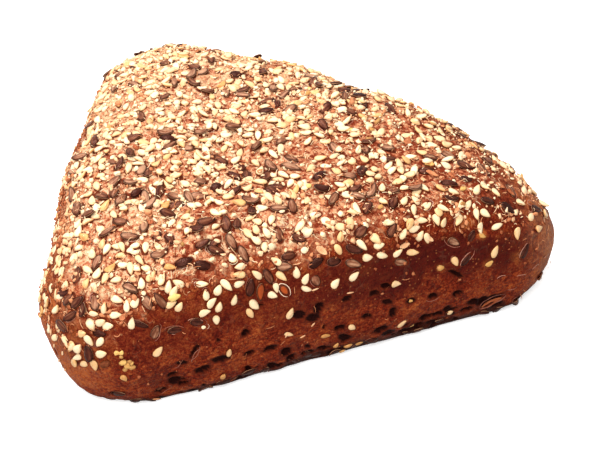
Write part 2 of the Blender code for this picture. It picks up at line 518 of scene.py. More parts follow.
class NodeSheet:
    """Adds shader nodes to one tree and links them."""

    def __init__(self, tree: bpy.types.NodeTree) -> None:
        """Keep the tree that the nodes go into."""
        self.tree = tree

    def node(self, kind: str, **values: object) -> bpy.types.Node:
        """Add a node of a kind and set its properties.

        Args:
            kind: Blender's name for the kind of node.
            **values: Properties of the node.

        Returns:
            The node.
        """
        made = self.tree.nodes.new(kind)
        for name, value in values.items():
            setattr(made, name, value)
        return made

    def feed(self, socket: Socket, value: object) -> None:
        """Link another node's socket to this one, or set this one's own value.

        Args:
            socket: The input.
            value: A socket, a number, a colour or a vector.
        """
        if isinstance(value, Socket):
            self.tree.links.new(value, socket)
        elif isinstance(value, tuple) and len(value) == 3 and socket.type == "RGBA":
            socket.default_value = (*value, 1.0)
        else:
            socket.default_value = value

    def place(self) -> Socket:
        """Return the point on the piece, in metres."""
        return self.node("ShaderNodeTexCoord").outputs["Object"]

    def upright_squeezed(self, times: float) -> Socket:
        """Return the point on the piece with its height stretched, so that patterns lie down.

        Args:
            times: How many times the height is stretched.

        Returns:
            The place's socket.
        """
        made = self.node("ShaderNodeMapping")
        self.feed(made.inputs["Vector"], self.place())
        self.feed(made.inputs["Scale"], (1.0, 1.0, times))
        return made.outputs["Vector"]

    def seed_place(self, across_times: float) -> Socket:
        """Return the point on a seed by its own length and width, another stretch for each tone.

        Args:
            across_times: How many times the width is stretched.

        Returns:
            The place's socket.
        """
        made = self.node("ShaderNodeCombineXYZ")
        self.feed(made.inputs["X"], self.attribute("along"))
        self.feed(made.inputs["Y"], self.times(self.attribute("across"), across_times))
        self.feed(made.inputs["Z"], self.times(self.attribute("tone"), 40.0))
        return made.outputs["Vector"]

    def attribute(self, name: str) -> Socket:
        """Return the number that the mesh holds under the name."""
        return self.node("ShaderNodeAttribute", attribute_name=name).outputs["Fac"]

    def noise(self, vector: object, scale: float, detail: float, roughness: float = 0.55) -> Socket:
        """Return fractal noise from 0 to 1, with scale in bumps for each metre.

        Args:
            vector: The place.
            scale: Bumps for each metre.
            detail: How many finer layers are added.
            roughness: How strong each finer layer is.

        Returns:
            The noise's value.
        """
        made = self.node("ShaderNodeTexNoise")
        self.feed(made.inputs["Vector"], vector)
        self.feed(made.inputs["Scale"], scale)
        self.feed(made.inputs["Detail"], detail)
        self.feed(made.inputs["Roughness"], roughness)
        return made.outputs["Fac"]

    def math(self, operation: str, first: object, second: object = 0.0) -> Socket:
        """Return the result of one sum on two numbers.

        Args:
            operation: Blender's name of the sum.
            first: The first value.
            second: The second value.

        Returns:
            The result.
        """
        made = self.node("ShaderNodeMath", operation=operation)
        self.feed(made.inputs[0], first)
        self.feed(made.inputs[1], second)
        return made.outputs[0]

    def mix(self, values: tuple[object, ...], weights: tuple[float, ...]) -> Socket:
        """Return the sum of several values, each times its weight.

        Args:
            values: Numbers or sockets.
            weights: A weight for each.

        Returns:
            The sum.
        """
        total = self.math("MULTIPLY", values[0], weights[0])
        for value, weight in zip(values[1:], weights[1:]):
            made = self.node("ShaderNodeMath", operation="MULTIPLY_ADD")
            for socket, part in zip(made.inputs, (value, weight, total)):
                self.feed(socket, part)
            total = made.outputs[0]
        return total

    def times(self, first: object, second: object) -> Socket:
        """Return the product of two numbers."""
        return self.math("MULTIPLY", first, second)

    def less(self, first: object, second: object) -> Socket:
        """Return the first number less the second."""
        return self.math("SUBTRACT", first, second)

    def lay(self, over: object, under: object, mask: object, share: object) -> Socket:
        """Return a colour with another laid over it by a mask times a share."""
        return self.blend(self.times(mask, share), under, over)

    def vector_math(self, operation: str, first: object, second: object) -> Socket:
        """Return the result of one sum on a vector and a vector or, to scale it, a number.

        Args:
            operation: Blender's name of the sum.
            first: The vector.
            second: The second vector, or the number.

        Returns:
            The vector.
        """
        made = self.node("ShaderNodeVectorMath", operation=operation)
        self.feed(made.inputs[0], first)
        self.feed(made.inputs["Scale" if operation == "SCALE" else 1], second)
        return made.outputs[0]

    def band(self, value: object, low: object, high: object) -> Socket:
        """Return 0 below low, 1 above high and a smooth step in between.

        Args:
            value: The value.
            low: Where the step starts.
            high: Where it ends.

        Returns:
            The share, from 0 to 1.
        """
        made = self.node("ShaderNodeMapRange", interpolation_type="SMOOTHSTEP")
        self.feed(made.inputs["Value"], value)
        self.feed(made.inputs["From Min"], low)
        self.feed(made.inputs["From Max"], high)
        return made.outputs["Result"]

    def ramp(self, value: object, stops: Stops) -> Socket:
        """Return a colour read off a row of colour stops.

        Args:
            value: Place on the ramp, from 0 to 1.
            stops: Pairs of a place and a colour.

        Returns:
            The colour.
        """
        made = self.node("ShaderNodeValToRGB")
        marks = made.color_ramp.elements
        while len(marks) < len(stops):
            marks.new(0.5)
        for mark, (position, colour) in zip(marks, stops):
            mark.position = position
            mark.color = (*colour, 1.0)
        self.feed(made.inputs["Fac"], value)
        return made.outputs["Color"]

    def blend(self, share: object, first: object, second: object, mode: str = "MIX") -> Socket:
        """Return the first colour, with the second laid over it by a share.

        Args:
            share: How much of the second colour is laid on.
            first: The colour beneath.
            second: The colour on top.
            mode: Blender's name of the way they mix.

        Returns:
            The colour.
        """
        made = self.node("ShaderNodeMix", data_type="RGBA", blend_type=mode)
        self.feed(made.inputs["Factor"], share)
        self.feed(made.inputs["A"], first)
        self.feed(made.inputs["B"], second)
        return made.outputs["Result"]


class EffectGroup:
    """A node group that finishes share.  A subclass names its sockets and wires them."""

    NAME: str
    INPUTS: tuple[str, ...]
    OUTPUTS: tuple[str, ...] = ("Mask",)

    @classmethod
    def wire(cls, sheet: NodeSheet, inputs: bpy.types.NodeOutputs, outputs: bpy.types.NodeInputs) -> None:
        """Link the group's inputs to its outputs."""
        raise NotImplementedError

    @classmethod
    def tree(cls) -> bpy.types.NodeTree:
        """Return the group, made the first time it is asked for.

        Returns:
            The node group.
        """
        if cls.NAME in bpy.data.node_groups:
            return bpy.data.node_groups[cls.NAME]
        tree = bpy.data.node_groups.new(cls.NAME, "ShaderNodeTree")
        tree.interface.new_socket("Vector", in_out="INPUT", socket_type="NodeSocketVector")
        for name in cls.INPUTS:
            tree.interface.new_socket(name, in_out="INPUT", socket_type="NodeSocketFloat")
        for name in cls.OUTPUTS:
            tree.interface.new_socket(name, in_out="OUTPUT", socket_type="NodeSocketFloat")
        sheet = NodeSheet(tree)
        cls.wire(sheet, sheet.node("NodeGroupInput").outputs, sheet.node("NodeGroupOutput").inputs)
        return tree

    @classmethod
    def add(cls, sheet: NodeSheet, *values: object) -> bpy.types.NodeOutputs:
        """Place the group in a material, on Object coordinates.

        Args:
            sheet: The material's nodes.
            *values: A number or a socket for each of the group's inputs, in their order.

        Returns:
            The outputs of the group's node.
        """
        made = sheet.node("ShaderNodeGroup", node_tree=cls.tree())
        sheet.feed(made.inputs["Vector"], sheet.place())
        for name, value in zip(cls.INPUTS, values):
            sheet.feed(made.inputs[name], value)
        return made.outputs


class MottleGroup(EffectGroup):
    """Blotches at two scales, put out as a mask and as a height."""

    NAME = "mottle"
    INPUTS = ("Blotch Scale", "Grain Scale", "Grain Share")
    OUTPUTS = ("Mask", "Height")

    @classmethod
    def wire(cls, sheet: NodeSheet, inputs: bpy.types.NodeOutputs, outputs: bpy.types.NodeInputs) -> None:
        """Mix two noises by the grain's share, and step the mix for the mask.

        Args:
            sheet: The node sheet to draw on.
            inputs: The group's inputs by name.
            outputs: The group's outputs by name.
        """
        blotch = sheet.noise(inputs["Vector"], inputs["Blotch Scale"], 4.0)
        grain = sheet.noise(inputs["Vector"], inputs["Grain Scale"], 3.0, 0.65)
        mixed = sheet.node("ShaderNodeMix", data_type="FLOAT")
        sheet.feed(mixed.inputs["Factor"], inputs["Grain Share"])
        sheet.feed(mixed.inputs["A"], blotch)
        sheet.feed(mixed.inputs["B"], grain)
        sheet.feed(outputs["Mask"], sheet.band(mixed.outputs["Result"], 0.3, 0.7))
        sheet.feed(outputs["Height"], mixed.outputs["Result"])


class CrumbleGroup(EffectGroup):
    """Rounded grains with wavy sides, put out as the level of each and as its dome."""

    NAME = "crumble"
    INPUTS = ("Scale", "Waviness")
    OUTPUTS = ("Level", "Dome")

    @classmethod
    def wire(cls, sheet: NodeSheet, inputs: bpy.types.NodeOutputs, outputs: bpy.types.NodeInputs) -> None:
        """Read Voronoi cells at a place that a noise moves by the waviness, in cells.

        Args:
            sheet: The node sheet to draw on.
            inputs: The group's inputs by name.
            outputs: The group's outputs by name.
        """
        sway = sheet.node("ShaderNodeTexNoise")
        sheet.feed(sway.inputs["Vector"], inputs["Vector"])
        sheet.feed(sway.inputs["Scale"], inputs["Scale"])
        shift = sheet.vector_math("SUBTRACT", sway.outputs["Color"], (0.5, 0.5, 0.5))
        reach = sheet.math("DIVIDE", inputs["Waviness"], inputs["Scale"])
        cells = sheet.node("ShaderNodeTexVoronoi", feature="F1")
        sheet.feed(cells.inputs["Vector"], sheet.vector_math(
            "ADD", inputs["Vector"], sheet.vector_math("SCALE", shift, reach)))
        sheet.feed(cells.inputs["Scale"], inputs["Scale"])
        shade = sheet.node("ShaderNodeSeparateColor")
        sheet.feed(shade.inputs["Color"], cells.outputs["Color"])
        sheet.feed(outputs["Level"], shade.outputs["Red"])
        sheet.feed(outputs["Dome"], sheet.less(1.0, cells.outputs["Distance"]))


class SpeckGroup(EffectGroup):
    """Round specks scattered at random; the reach is the radius of the largest, in cells."""

    NAME = "specks"
    INPUTS = ("Scale", "Reach")

    @classmethod
    def wire(cls, sheet: NodeSheet, inputs: bpy.types.NodeOutputs, outputs: bpy.types.NodeInputs) -> None:
        """Show the middle of each Voronoi cell as far as the cube of its random value reaches.

        Args:
            sheet: The node sheet to draw on.
            inputs: The group's inputs by name.
            outputs: The group's outputs by name.
        """
        cells = sheet.node("ShaderNodeTexVoronoi", feature="F1")
        sheet.feed(cells.inputs["Vector"], inputs["Vector"])
        sheet.feed(cells.inputs["Scale"], inputs["Scale"])
        shade = sheet.node("ShaderNodeSeparateColor")
        sheet.feed(shade.inputs["Color"], cells.outputs["Color"])
        reach = sheet.times(sheet.math("POWER", shade.outputs["Red"], 3.0), inputs["Reach"])
        inside = sheet.less(reach, cells.outputs["Distance"])
        sheet.feed(outputs["Mask"], sheet.band(inside, 0.0, 0.08))


class FilamentGroup(EffectGroup):
    """Thin curling hairs in patches, where a noise comes within the width of its middle."""

    NAME = "filaments"
    INPUTS = ("Scale", "Width")

    @classmethod
    def wire(cls, sheet: NodeSheet, inputs: bpy.types.NodeOutputs, outputs: bpy.types.NodeInputs) -> None:
        """Draw the line where the noise crosses its middle, and keep it in patches.

        Args:
            sheet: The node sheet to draw on.
            inputs: The group's inputs by name.
            outputs: The group's outputs by name.
        """
        curl = sheet.noise(inputs["Vector"], inputs["Scale"], 1.0, 0.4)
        off = sheet.math("ABSOLUTE", sheet.less(curl, 0.5))
        thin = sheet.less(1.0, sheet.math("DIVIDE", off, inputs["Width"]))
        patches = sheet.noise(inputs["Vector"], sheet.times(inputs["Scale"], 0.6), 2.0)
        sheet.feed(outputs["Mask"], sheet.times(sheet.band(thin, 0.0, 0.8),
                                               sheet.band(patches, 0.48, 0.60)))


class FlankGroup(EffectGroup):
    """The flanks of a seed, told from its face with a ragged edge by the mesh's side attribute."""

    NAME = "flank"
    INPUTS = ("Side", "Start", "End")
    RAGGED = 0.16
    RAGGED_SCALE = 1300.0

    @classmethod
    def wire(cls, sheet: NodeSheet, inputs: bpy.types.NodeOutputs, outputs: bpy.types.NodeInputs) -> None:
        """Step the side from start to end, with noise added to it.

        Args:
            sheet: The node sheet to draw on.
            inputs: The group's inputs by name.
            outputs: The group's outputs by name.
        """
        ragged = sheet.less(sheet.noise(inputs["Vector"], cls.RAGGED_SCALE, 2.0), 0.5)
        side = sheet.mix((inputs["Side"], ragged), (1.0, cls.RAGGED))
        sheet.feed(outputs["Mask"], sheet.band(side, inputs["Start"], inputs["End"]))

    @classmethod
    def mask(cls, sheet: NodeSheet, start: float, end: float) -> Socket:
        """Return the mask, 0 up to the side's value start and 1 from end on."""
        return cls.add(sheet, sheet.attribute("side"), start, end)["Mask"]

    @classmethod
    def line(cls, sheet: NodeSheet, middle: float, half: float) -> Socket:
        """Return the mask of a line round the seed, as far down its side as middle says.

        Args:
            sheet: The node sheet to draw on.
            middle: How far down the side the line runs.
            half: Half its width.

        Returns:
            The mask's socket.
        """
        rising = cls.mask(sheet, middle - half, middle)
        falling = cls.mask(sheet, middle, middle + half)
        return sheet.less(rising, falling)


class Finish:
    """What every finish does: make a material, and hand its nodes to the finish's own paint.

    gloss is the shader's specular level, and tint the colour of what the surface reflects.
    """

    name: str
    roughness: float
    gloss: float
    tint: Colour
    bump_depth: float

    def material(self) -> bpy.types.Material:
        """Return the finished material.

        Returns:
            The material, with its nodes.
        """
        made = bpy.data.materials.new(self.name)
        made.use_nodes = True
        shader = made.node_tree.nodes["Principled BSDF"]
        shader.inputs["Roughness"].default_value = self.roughness
        shader.inputs["Specular IOR Level"].default_value = self.gloss
        shader.inputs["Specular Tint"].default_value = (*self.tint, 1.0)
        self.dress(NodeSheet(made.node_tree), shader.inputs)
        return made

    def dress(self, sheet: NodeSheet, inputs: bpy.types.NodeInputs) -> None:
        """Link the finish's pattern to the shader's inputs."""
        raise NotImplementedError

    def emboss(self, sheet: NodeSheet, inputs: bpy.types.NodeInputs, height: object) -> None:
        """Let a height from 0 to 1 stand out from the surface, by the bump depth in metres.

        Args:
            sheet: The node sheet to draw on.
            inputs: The shader's inputs.
            height: The height's socket.
        """
        bump = sheet.node("ShaderNodeBump")
        bump.inputs["Strength"].default_value = 1.0
        bump.inputs["Distance"].default_value = self.bump_depth
        sheet.feed(bump.inputs["Height"], height)
        sheet.feed(inputs["Normal"], bump.outputs["Normal"])


@dataclass(frozen=True)
class CrustFinish(Finish):
    """Baked crust: orange and floury on top, dark red-brown and smoother down the walls.

    A mottle is the scales of its blotches and grains and the grains' share; grains and wrinkles
    have a scale and a waviness, fibres a scale and a width, and specks a scale and a reach.
    Mixes and shares give the weights of what dress names, in its order.
    """

    name: str = "crust"
    roughness: float = 0.6
    gloss: float = 0.055
    tint: Colour = (1.0, 0.44, 0.24)
    bump_depth: float = 1.6 * MM
    roughnesses: Span = (0.80, 0.42)
    top_stops: Stops = ((0.37, (0.170, 0.024, 0.009)), (0.45, (0.410, 0.117, 0.053)),
                        (0.53, (0.565, 0.276, 0.142)), (0.61, (0.650, 0.460, 0.285)))
    wall_stops: Stops = ((0.47, (0.034, 0.003, 0.002)), (0.56, (0.125, 0.011, 0.004)),
                         (0.62, (0.205, 0.027, 0.008)), (0.75, (0.400, 0.100, 0.024)))
    # The plum colour serves the walls' dark blotches and the painted shade under the shoulder.
    plum_and_shade: Colour = (0.048, 0.004, 0.004)
    # Painted shade on the crust under and round the seeds, and round the pits.
    seed_shade: Colour = (0.115, 0.016, 0.006)
    dark_hem: Colour = (0.018, 0.004, 0.003)
    # Painted shade, near black, inside the pits.
    pit: Colour = (0.012, 0.002, 0.002)
    # Flour dust, which on the right nose is also painted light.
    flour_and_light: Colour = (0.61, 0.395, 0.225)
    fleck: Colour = (0.84, 0.58, 0.34)
    rust: Colour = (0.46, 0.16, 0.05)
    broad: Mottle = (160.0, 420.0, 0.5)
    fine: Mottle = (900.0, 2600.0, 0.4)
    crisp: Mottle = (1500.0, 4000.0, 0.5)
    grains: Span = (1150.0, 0.9)
    wrinkles: Span = (520.0, 1.8)
    fibres: Span = (420.0, 0.05)
    specks: Span = (1300.0, 0.40)
    blotch_squeeze: float = 1.15
    blotches: tuple[float, ...] = (135.0, 6.0, 0.68)
    plums: tuple[float, ...] = (75.0, 4.0, 0.65)
    plum_band: Span = (0.52, 0.60)
    plum_share: float = 0.40
    flour_band: Span = (0.36, 0.52)
    seed_shade_band: Span = (0.80, 1.35)
    seed_shade_share: float = 0.96
    dark_hem_share: float = 0.85
    top_mix: tuple[float, ...] = (0.60, 0.40, 0.18, 0.06)
    top_shifts: tuple[float, ...] = (1.0, 0.05, -0.050)
    wall_mix: tuple[float, ...] = (0.24, 0.30, 0.66, 0.12, 0.07, 0.05)
    shoulder_shade_mix: tuple[float, ...] = (1.10, 0.28)
    fibre_shares: tuple[float, ...] = (0.45, 0.30, 0.02)
    speck_shares: tuple[float, ...] = (0.36, 0.20, 0.34)
    seed_shade_mix: tuple[float, ...] = (1.0, 1.1, -0.35)
    dome_shares: tuple[float, ...] = (0.9, 0.30)
    ridge_share: float = 0.30
    flour_calm: float = 0.75
    crumb_mix: tuple[float, ...] = (1.0, 0.28)
    relief_mix: tuple[float, ...] = (1.0, 0.10, 1.0)

    def dress(self, sheet: NodeSheet, inputs: bpy.types.NodeInputs) -> None:
        """Blend top and wall by the mesh's bake, then lay on flour, fibres, painted shade round seeds and pits, the
        dark hem along the foot and painted shade inside the pits.

        Args:
            sheet: The node sheet to draw on.
            inputs: The shader's inputs by name.
        """
        bake, flour_and_light, warmth, relief, toast_and_shade, shoulder_shade, shade, dark_hem, pit = (sheet.attribute(name) for name in (
            "bake", "flour_and_light", "warmth", "relief", "toast_and_shade", "shoulder_shade", "shade", "dark_hem", "pit"))
        open_top = sheet.less(1.0, bake)
        broad, fine, crisp = (MottleGroup.add(sheet, *own)["Height"] for own in (self.broad, self.fine, self.crisp))
        grain = CrumbleGroup.add(sheet, *self.grains)
        loose = sheet.times(open_top, sheet.less(grain["Level"], 0.5))
        # Higher places come out a little lighter and lower ones darker, here and in the wall's mix: painted shade in
        # the hollows.
        both = sheet.mix((fine, broad, loose, relief), self.top_mix)
        # Toast darkens the crown along the front and on the right; on the right it is also painted shade.
        top = sheet.ramp(sheet.mix((both, warmth, toast_and_shade), self.top_shifts), self.top_stops)
        blotches = sheet.noise(sheet.upright_squeezed(self.blotch_squeeze), *self.blotches)
        wrinkles = CrumbleGroup.add(sheet, *self.wrinkles)
        uneven = sheet.less(wrinkles["Level"], 0.5)
        wall = sheet.ramp(sheet.mix((blotches, fine, crisp, warmth, uneven, relief), self.wall_mix), self.wall_stops)
        plums = sheet.band(sheet.noise(sheet.place(), *self.plums), *self.plum_band)
        # The band under the shoulder gets painted shade, in the plum colour.
        shoulder_shaded = sheet.times(shoulder_shade, sheet.mix((crisp, 1.0), self.shoulder_shade_mix))
        wall = sheet.blend(sheet.math("MAXIMUM", sheet.times(plums, self.plum_share), shoulder_shaded), wall, self.plum_and_shade)
        colour = sheet.blend(bake, top, wall)
        # Flour is laid on: dust, and on the right nose painted light.
        colour = sheet.lay(self.flour_and_light, colour, flour_and_light, sheet.band(both, *self.flour_band))
        hairs = FilamentGroup.add(sheet, *self.fibres)["Mask"]
        specks = SpeckGroup.add(sheet, *self.specks)["Mask"]
        colour = sheet.lay(self.fleck, colour, hairs, sheet.mix((open_top, flour_and_light, bake), self.fibre_shares))
        colour = sheet.lay(sheet.blend(bake, self.fleck, self.rust), colour, specks,
                           sheet.mix((open_top, flour_and_light, bake), self.speck_shares))
        # Painted shade round the seeds and the pits.
        ragged = sheet.band(sheet.mix((shade, fine, flour_and_light), self.seed_shade_mix), *self.seed_shade_band)
        colour = sheet.lay(self.seed_shade, colour, ragged, self.seed_shade_share)
        colour = sheet.lay(self.dark_hem, colour, dark_hem, self.dark_hem_share)
        # Painted shade, near black, inside the pits.
        sheet.feed(inputs["Base Color"], sheet.blend(pit, colour, self.pit))
        sheen = sheet.node("ShaderNodeMapRange")
        sheet.feed(sheen.inputs["Value"], bake)
        sheen.inputs["To Min"].default_value, sheen.inputs["To Max"].default_value = self.roughnesses
        sheet.feed(inputs["Roughness"], sheen.outputs["Result"])
        domes = sheet.times(grain["Dome"], sheet.mix((open_top, bake), self.dome_shares))
        ridges = sheet.times(wrinkles["Dome"], sheet.times(bake, self.ridge_share))
        calm = sheet.less(1.0, sheet.times(flour_and_light, self.flour_calm))
        crumbly = sheet.times(calm, sheet.mix((both, domes), self.crumb_mix))
        self.emboss(sheet, inputs, sheet.mix((crumbly, hairs, ridges), self.relief_mix))


@dataclass(frozen=True)
class SesameFinish(Finish):
    """Hulled sesame: a cream face with a faint line round it, a toasted amber tip, and amber flanks
    that are partly toasting and partly painted shade.

    line is how far down the side the line runs and half its width.
    """

    name: str = "sesame"
    roughness: float = 0.42
    gloss: float = 0.22
    tint: Colour = (1.0, 0.90, 0.74)
    bump_depth: float = 0.12 * MM
    mottle: Mottle = (700.0, 3600.0, 0.4)
    stops: Stops = ((0.0, (0.78, 0.65, 0.45)), (0.25, (0.73, 0.555, 0.345)), (0.50, (0.70, 0.47, 0.25)),
                    (0.78, (0.60, 0.33, 0.12)), (1.0, (0.42, 0.16, 0.04)))
    amber: Colour = (0.62, 0.30, 0.09)
    cloud_scale: float = 1.6
    cloud_share: float = 0.55
    blotch_share: float = 0.12
    line: Span = (0.32, 0.13)
    line_share: float = 0.50
    tip: Span = (0.55, 1.0)
    tip_share: float = 0.45
    # The amber on the flanks is partly toasting and partly painted shade.
    flank: Span = (0.40, 1.05)
    flank_share: float = 0.85

    def dress(self, sheet: NodeSheet, inputs: bpy.types.NodeInputs) -> None:
        """Colour each seed by its tone, toast its tip, darken its flanks with toast and painted shade,
        and draw the line round its face.

        Args:
            sheet: The node sheet to draw on.
            inputs: The shader's inputs by name.
        """
        mottle = MottleGroup.add(sheet, *self.mottle)
        cloud = sheet.less(sheet.noise(sheet.seed_place(1.0), self.cloud_scale, 2.0), 0.5)
        colour = sheet.ramp(sheet.mix((sheet.attribute("tone"), cloud), (1.0, self.cloud_share)), self.stops)
        # Amber on the tip is toast; on the flanks it is partly toast and partly painted shade.
        for mask, share in ((mottle["Mask"], self.blotch_share),
                            (FlankGroup.line(sheet, *self.line), self.line_share),
                            (sheet.band(sheet.attribute("along"), *self.tip), self.tip_share),
                            (FlankGroup.mask(sheet, *self.flank), self.flank_share)):
            colour = sheet.lay(self.amber, colour, mask, share)
        sheet.feed(inputs["Base Color"], colour)
        self.emboss(sheet, inputs, mottle["Height"])


@dataclass(frozen=True)
class LinseedFinish(Finish):
    """Brown linseed: a streaked mauve-brown face, flanks painted nearly black as shade, and a thin
    pale line at the rim that is a painted highlight.

    line is how far down the side the line runs and half its width.  Tones from rusty on are rust.
    """

    name: str = "linseed"
    roughness: float = 0.27
    gloss: float = 0.20
    tint: Colour = (1.0, 0.52, 0.38)
    bump_depth: float = 0.18 * MM
    mottle: Mottle = (900.0, 4200.0, 0.4)
    stops: Stops = ((0.0, (0.018, 0.003, 0.002)), (0.25, (0.062, 0.013, 0.007)), (0.60, (0.190, 0.066, 0.032)),
                    (0.92, (0.440, 0.228, 0.132)), (1.0, (0.360, 0.062, 0.012)))
    # The dark colour is painted shade on the flanks, and the rim colour a painted highlight along the rim.
    dark: Colour = (0.014, 0.002, 0.002)
    rim: Colour = (0.50, 0.25, 0.13)
    vein: Colour = (0.045, 0.012, 0.008)
    streak_stretch: float = 2.2
    streak_scale: float = 0.8
    streak_share: float = 1.35
    palest: float = 0.92
    rusty: float = 0.95
    vein_share: float = 0.30
    # Where the painted shade of the flanks and the painted highlight of the rim line lie.
    flank: Span = (0.14, 0.66)
    flank_share: float = 0.88
    line: Span = (0.82, 0.12)
    line_share: float = 0.60

    def dress(self, sheet: NodeSheet, inputs: bpy.types.NodeInputs) -> None:
        """Colour each seed by its tone in streaks, paint shade on its flanks, and draw the pale line
        between as a painted highlight.

        Args:
            sheet: The node sheet to draw on.
            inputs: The shader's inputs by name.
        """
        mottle = MottleGroup.add(sheet, *self.mottle)
        tone = sheet.attribute("tone")
        streaks = sheet.less(sheet.noise(sheet.seed_place(self.streak_stretch), self.streak_scale, 2.0), 0.5)
        brown = sheet.math("MINIMUM", sheet.mix((tone, streaks), (1.0, self.streak_share)), self.palest)
        colour = sheet.ramp(sheet.math("MAXIMUM", brown, sheet.math("GREATER_THAN", tone, self.rusty)), self.stops)
        # Painted shade on the flanks and a painted highlight on the rim line.
        for over, mask, share in ((self.vein, mottle["Mask"], self.vein_share),
                                  (self.dark, FlankGroup.mask(sheet, *self.flank), self.flank_share),
                                  (self.rim, FlankGroup.line(sheet, *self.line), self.line_share)):
            colour = sheet.lay(over, colour, mask, share)
        sheet.feed(inputs["Base Color"], colour)
        self.emboss(sheet, inputs, mottle["Height"])


@dataclass(frozen=True)
class BranFinish(Finish):
    """Dry bran and crumb: from nearly black through rust and straw to cream, by each bit's tone."""

    name: str = "bran"
    roughness: float = 0.75
    gloss: float = 0.10
    tint: Colour = (1.0, 0.80, 0.60)
    bump_depth: float = 0.16 * MM
    mottle: Mottle = (1500.0, 5200.0, 0.4)
    stops: Stops = ((0.0, (0.070, 0.012, 0.006)), (0.30, (0.280, 0.062, 0.024)), (0.60, (0.610, 0.250, 0.115)),
                    (0.85, (0.790, 0.510, 0.290)), (1.0, (0.880, 0.720, 0.480)))
    rust: Colour = (0.45, 0.17, 0.05)
    rust_share: float = 0.18
    grains: Span = (2200.0, 0.6)
    grain_share: float = 0.12
    relief_mix: tuple[float, ...] = (0.7, 0.5)

    def dress(self, sheet: NodeSheet, inputs: bpy.types.NodeInputs) -> None:
        """Colour each bit by its tone, a little blotched and crumbled.

        Args:
            sheet: The node sheet to draw on.
            inputs: The shader's inputs by name.
        """
        mottle = MottleGroup.add(sheet, *self.mottle)
        grain = CrumbleGroup.add(sheet, *self.grains)
        uneven = sheet.less(grain["Level"], 0.5)
        colour = sheet.ramp(sheet.mix((sheet.attribute("tone"), uneven), (1.0, self.grain_share)), self.stops)
        sheet.feed(inputs["Base Color"], sheet.lay(self.rust, colour, mottle["Mask"], self.rust_share))
        self.emboss(sheet, inputs, sheet.mix((mottle["Height"], grain["Dome"]), self.relief_mix))


@dataclass(frozen=True)
class GritFinish(Finish):
    """Soya and maize grit: yellow to amber, slightly waxy."""

    name: str = "grit"
    roughness: float = 0.45
    gloss: float = 0.25
    tint: Colour = (1.0, 0.85, 0.60)
    bump_depth: float = 0.35 * MM
    mottle: Mottle = (800.0, 3000.0, 0.4)
    stops: Stops = ((0.0, (0.70, 0.47, 0.15)), (0.5, (0.54, 0.26, 0.065)), (1.0, (0.24, 0.070, 0.012)))
    pale: Colour = (0.84, 0.62, 0.27)
    pale_share: float = 0.25

    def dress(self, sheet: NodeSheet, inputs: bpy.types.NodeInputs) -> None:
        """Colour each bit by its tone, strongly blotched.

        Args:
            sheet: The node sheet to draw on.
            inputs: The shader's inputs by name.
        """
        mottle = MottleGroup.add(sheet, *self.mottle)
        colour = sheet.ramp(sheet.attribute("tone"), self.stops)
        sheet.feed(inputs["Base Color"], sheet.lay(self.pale, colour, mottle["Mask"], self.pale_share))
        self.emboss(sheet, inputs, mottle["Height"])


@dataclass(frozen=True)
class FilmFinish(Finish):
    """Dry skin of dough that is torn round a seed: a thin edge from rust to pinkish cream."""

    name: str = "film"
    roughness: float = 0.40
    gloss: float = 0.30
    tint: Colour = (1.0, 0.85, 0.78)
    bump_depth: float = 0.08 * MM
    mottle: Mottle = (600.0, 2400.0, 0.4)
    stops: Stops = ((0.0, (0.085, 0.022, 0.014)), (0.4, (0.290, 0.090, 0.055)), (0.7, (0.490, 0.235, 0.165)),
                    (1.0, (0.860, 0.660, 0.480)))
    uneven_share: float = 0.35

    def dress(self, sheet: NodeSheet, inputs: bpy.types.NodeInputs) -> None:
        """Colour each edge by its tone, lighter and darker along it.

        Args:
            sheet: The node sheet to draw on.
            inputs: The shader's inputs by name.
        """
        mottle = MottleGroup.add(sheet, *self.mottle)
        uneven = sheet.less(mottle["Mask"], 0.5)
        colour = sheet.ramp(sheet.mix((sheet.attribute("tone"), uneven), (1.0, self.uneven_share)), self.stops)
        sheet.feed(inputs["Base Color"], colour)
        self.emboss(sheet, inputs, mottle["Height"])


# ---- The crust ----


@dataclass(frozen=True)
class Hollow:
    """A pit in the wall where a seed has come away, placed by the pixel where it shows.

    turn is its long axis in the picture, in degrees anticlockwise from the right.
    """

    column: float
    row: float
    turn: float
    length: float
    width: float


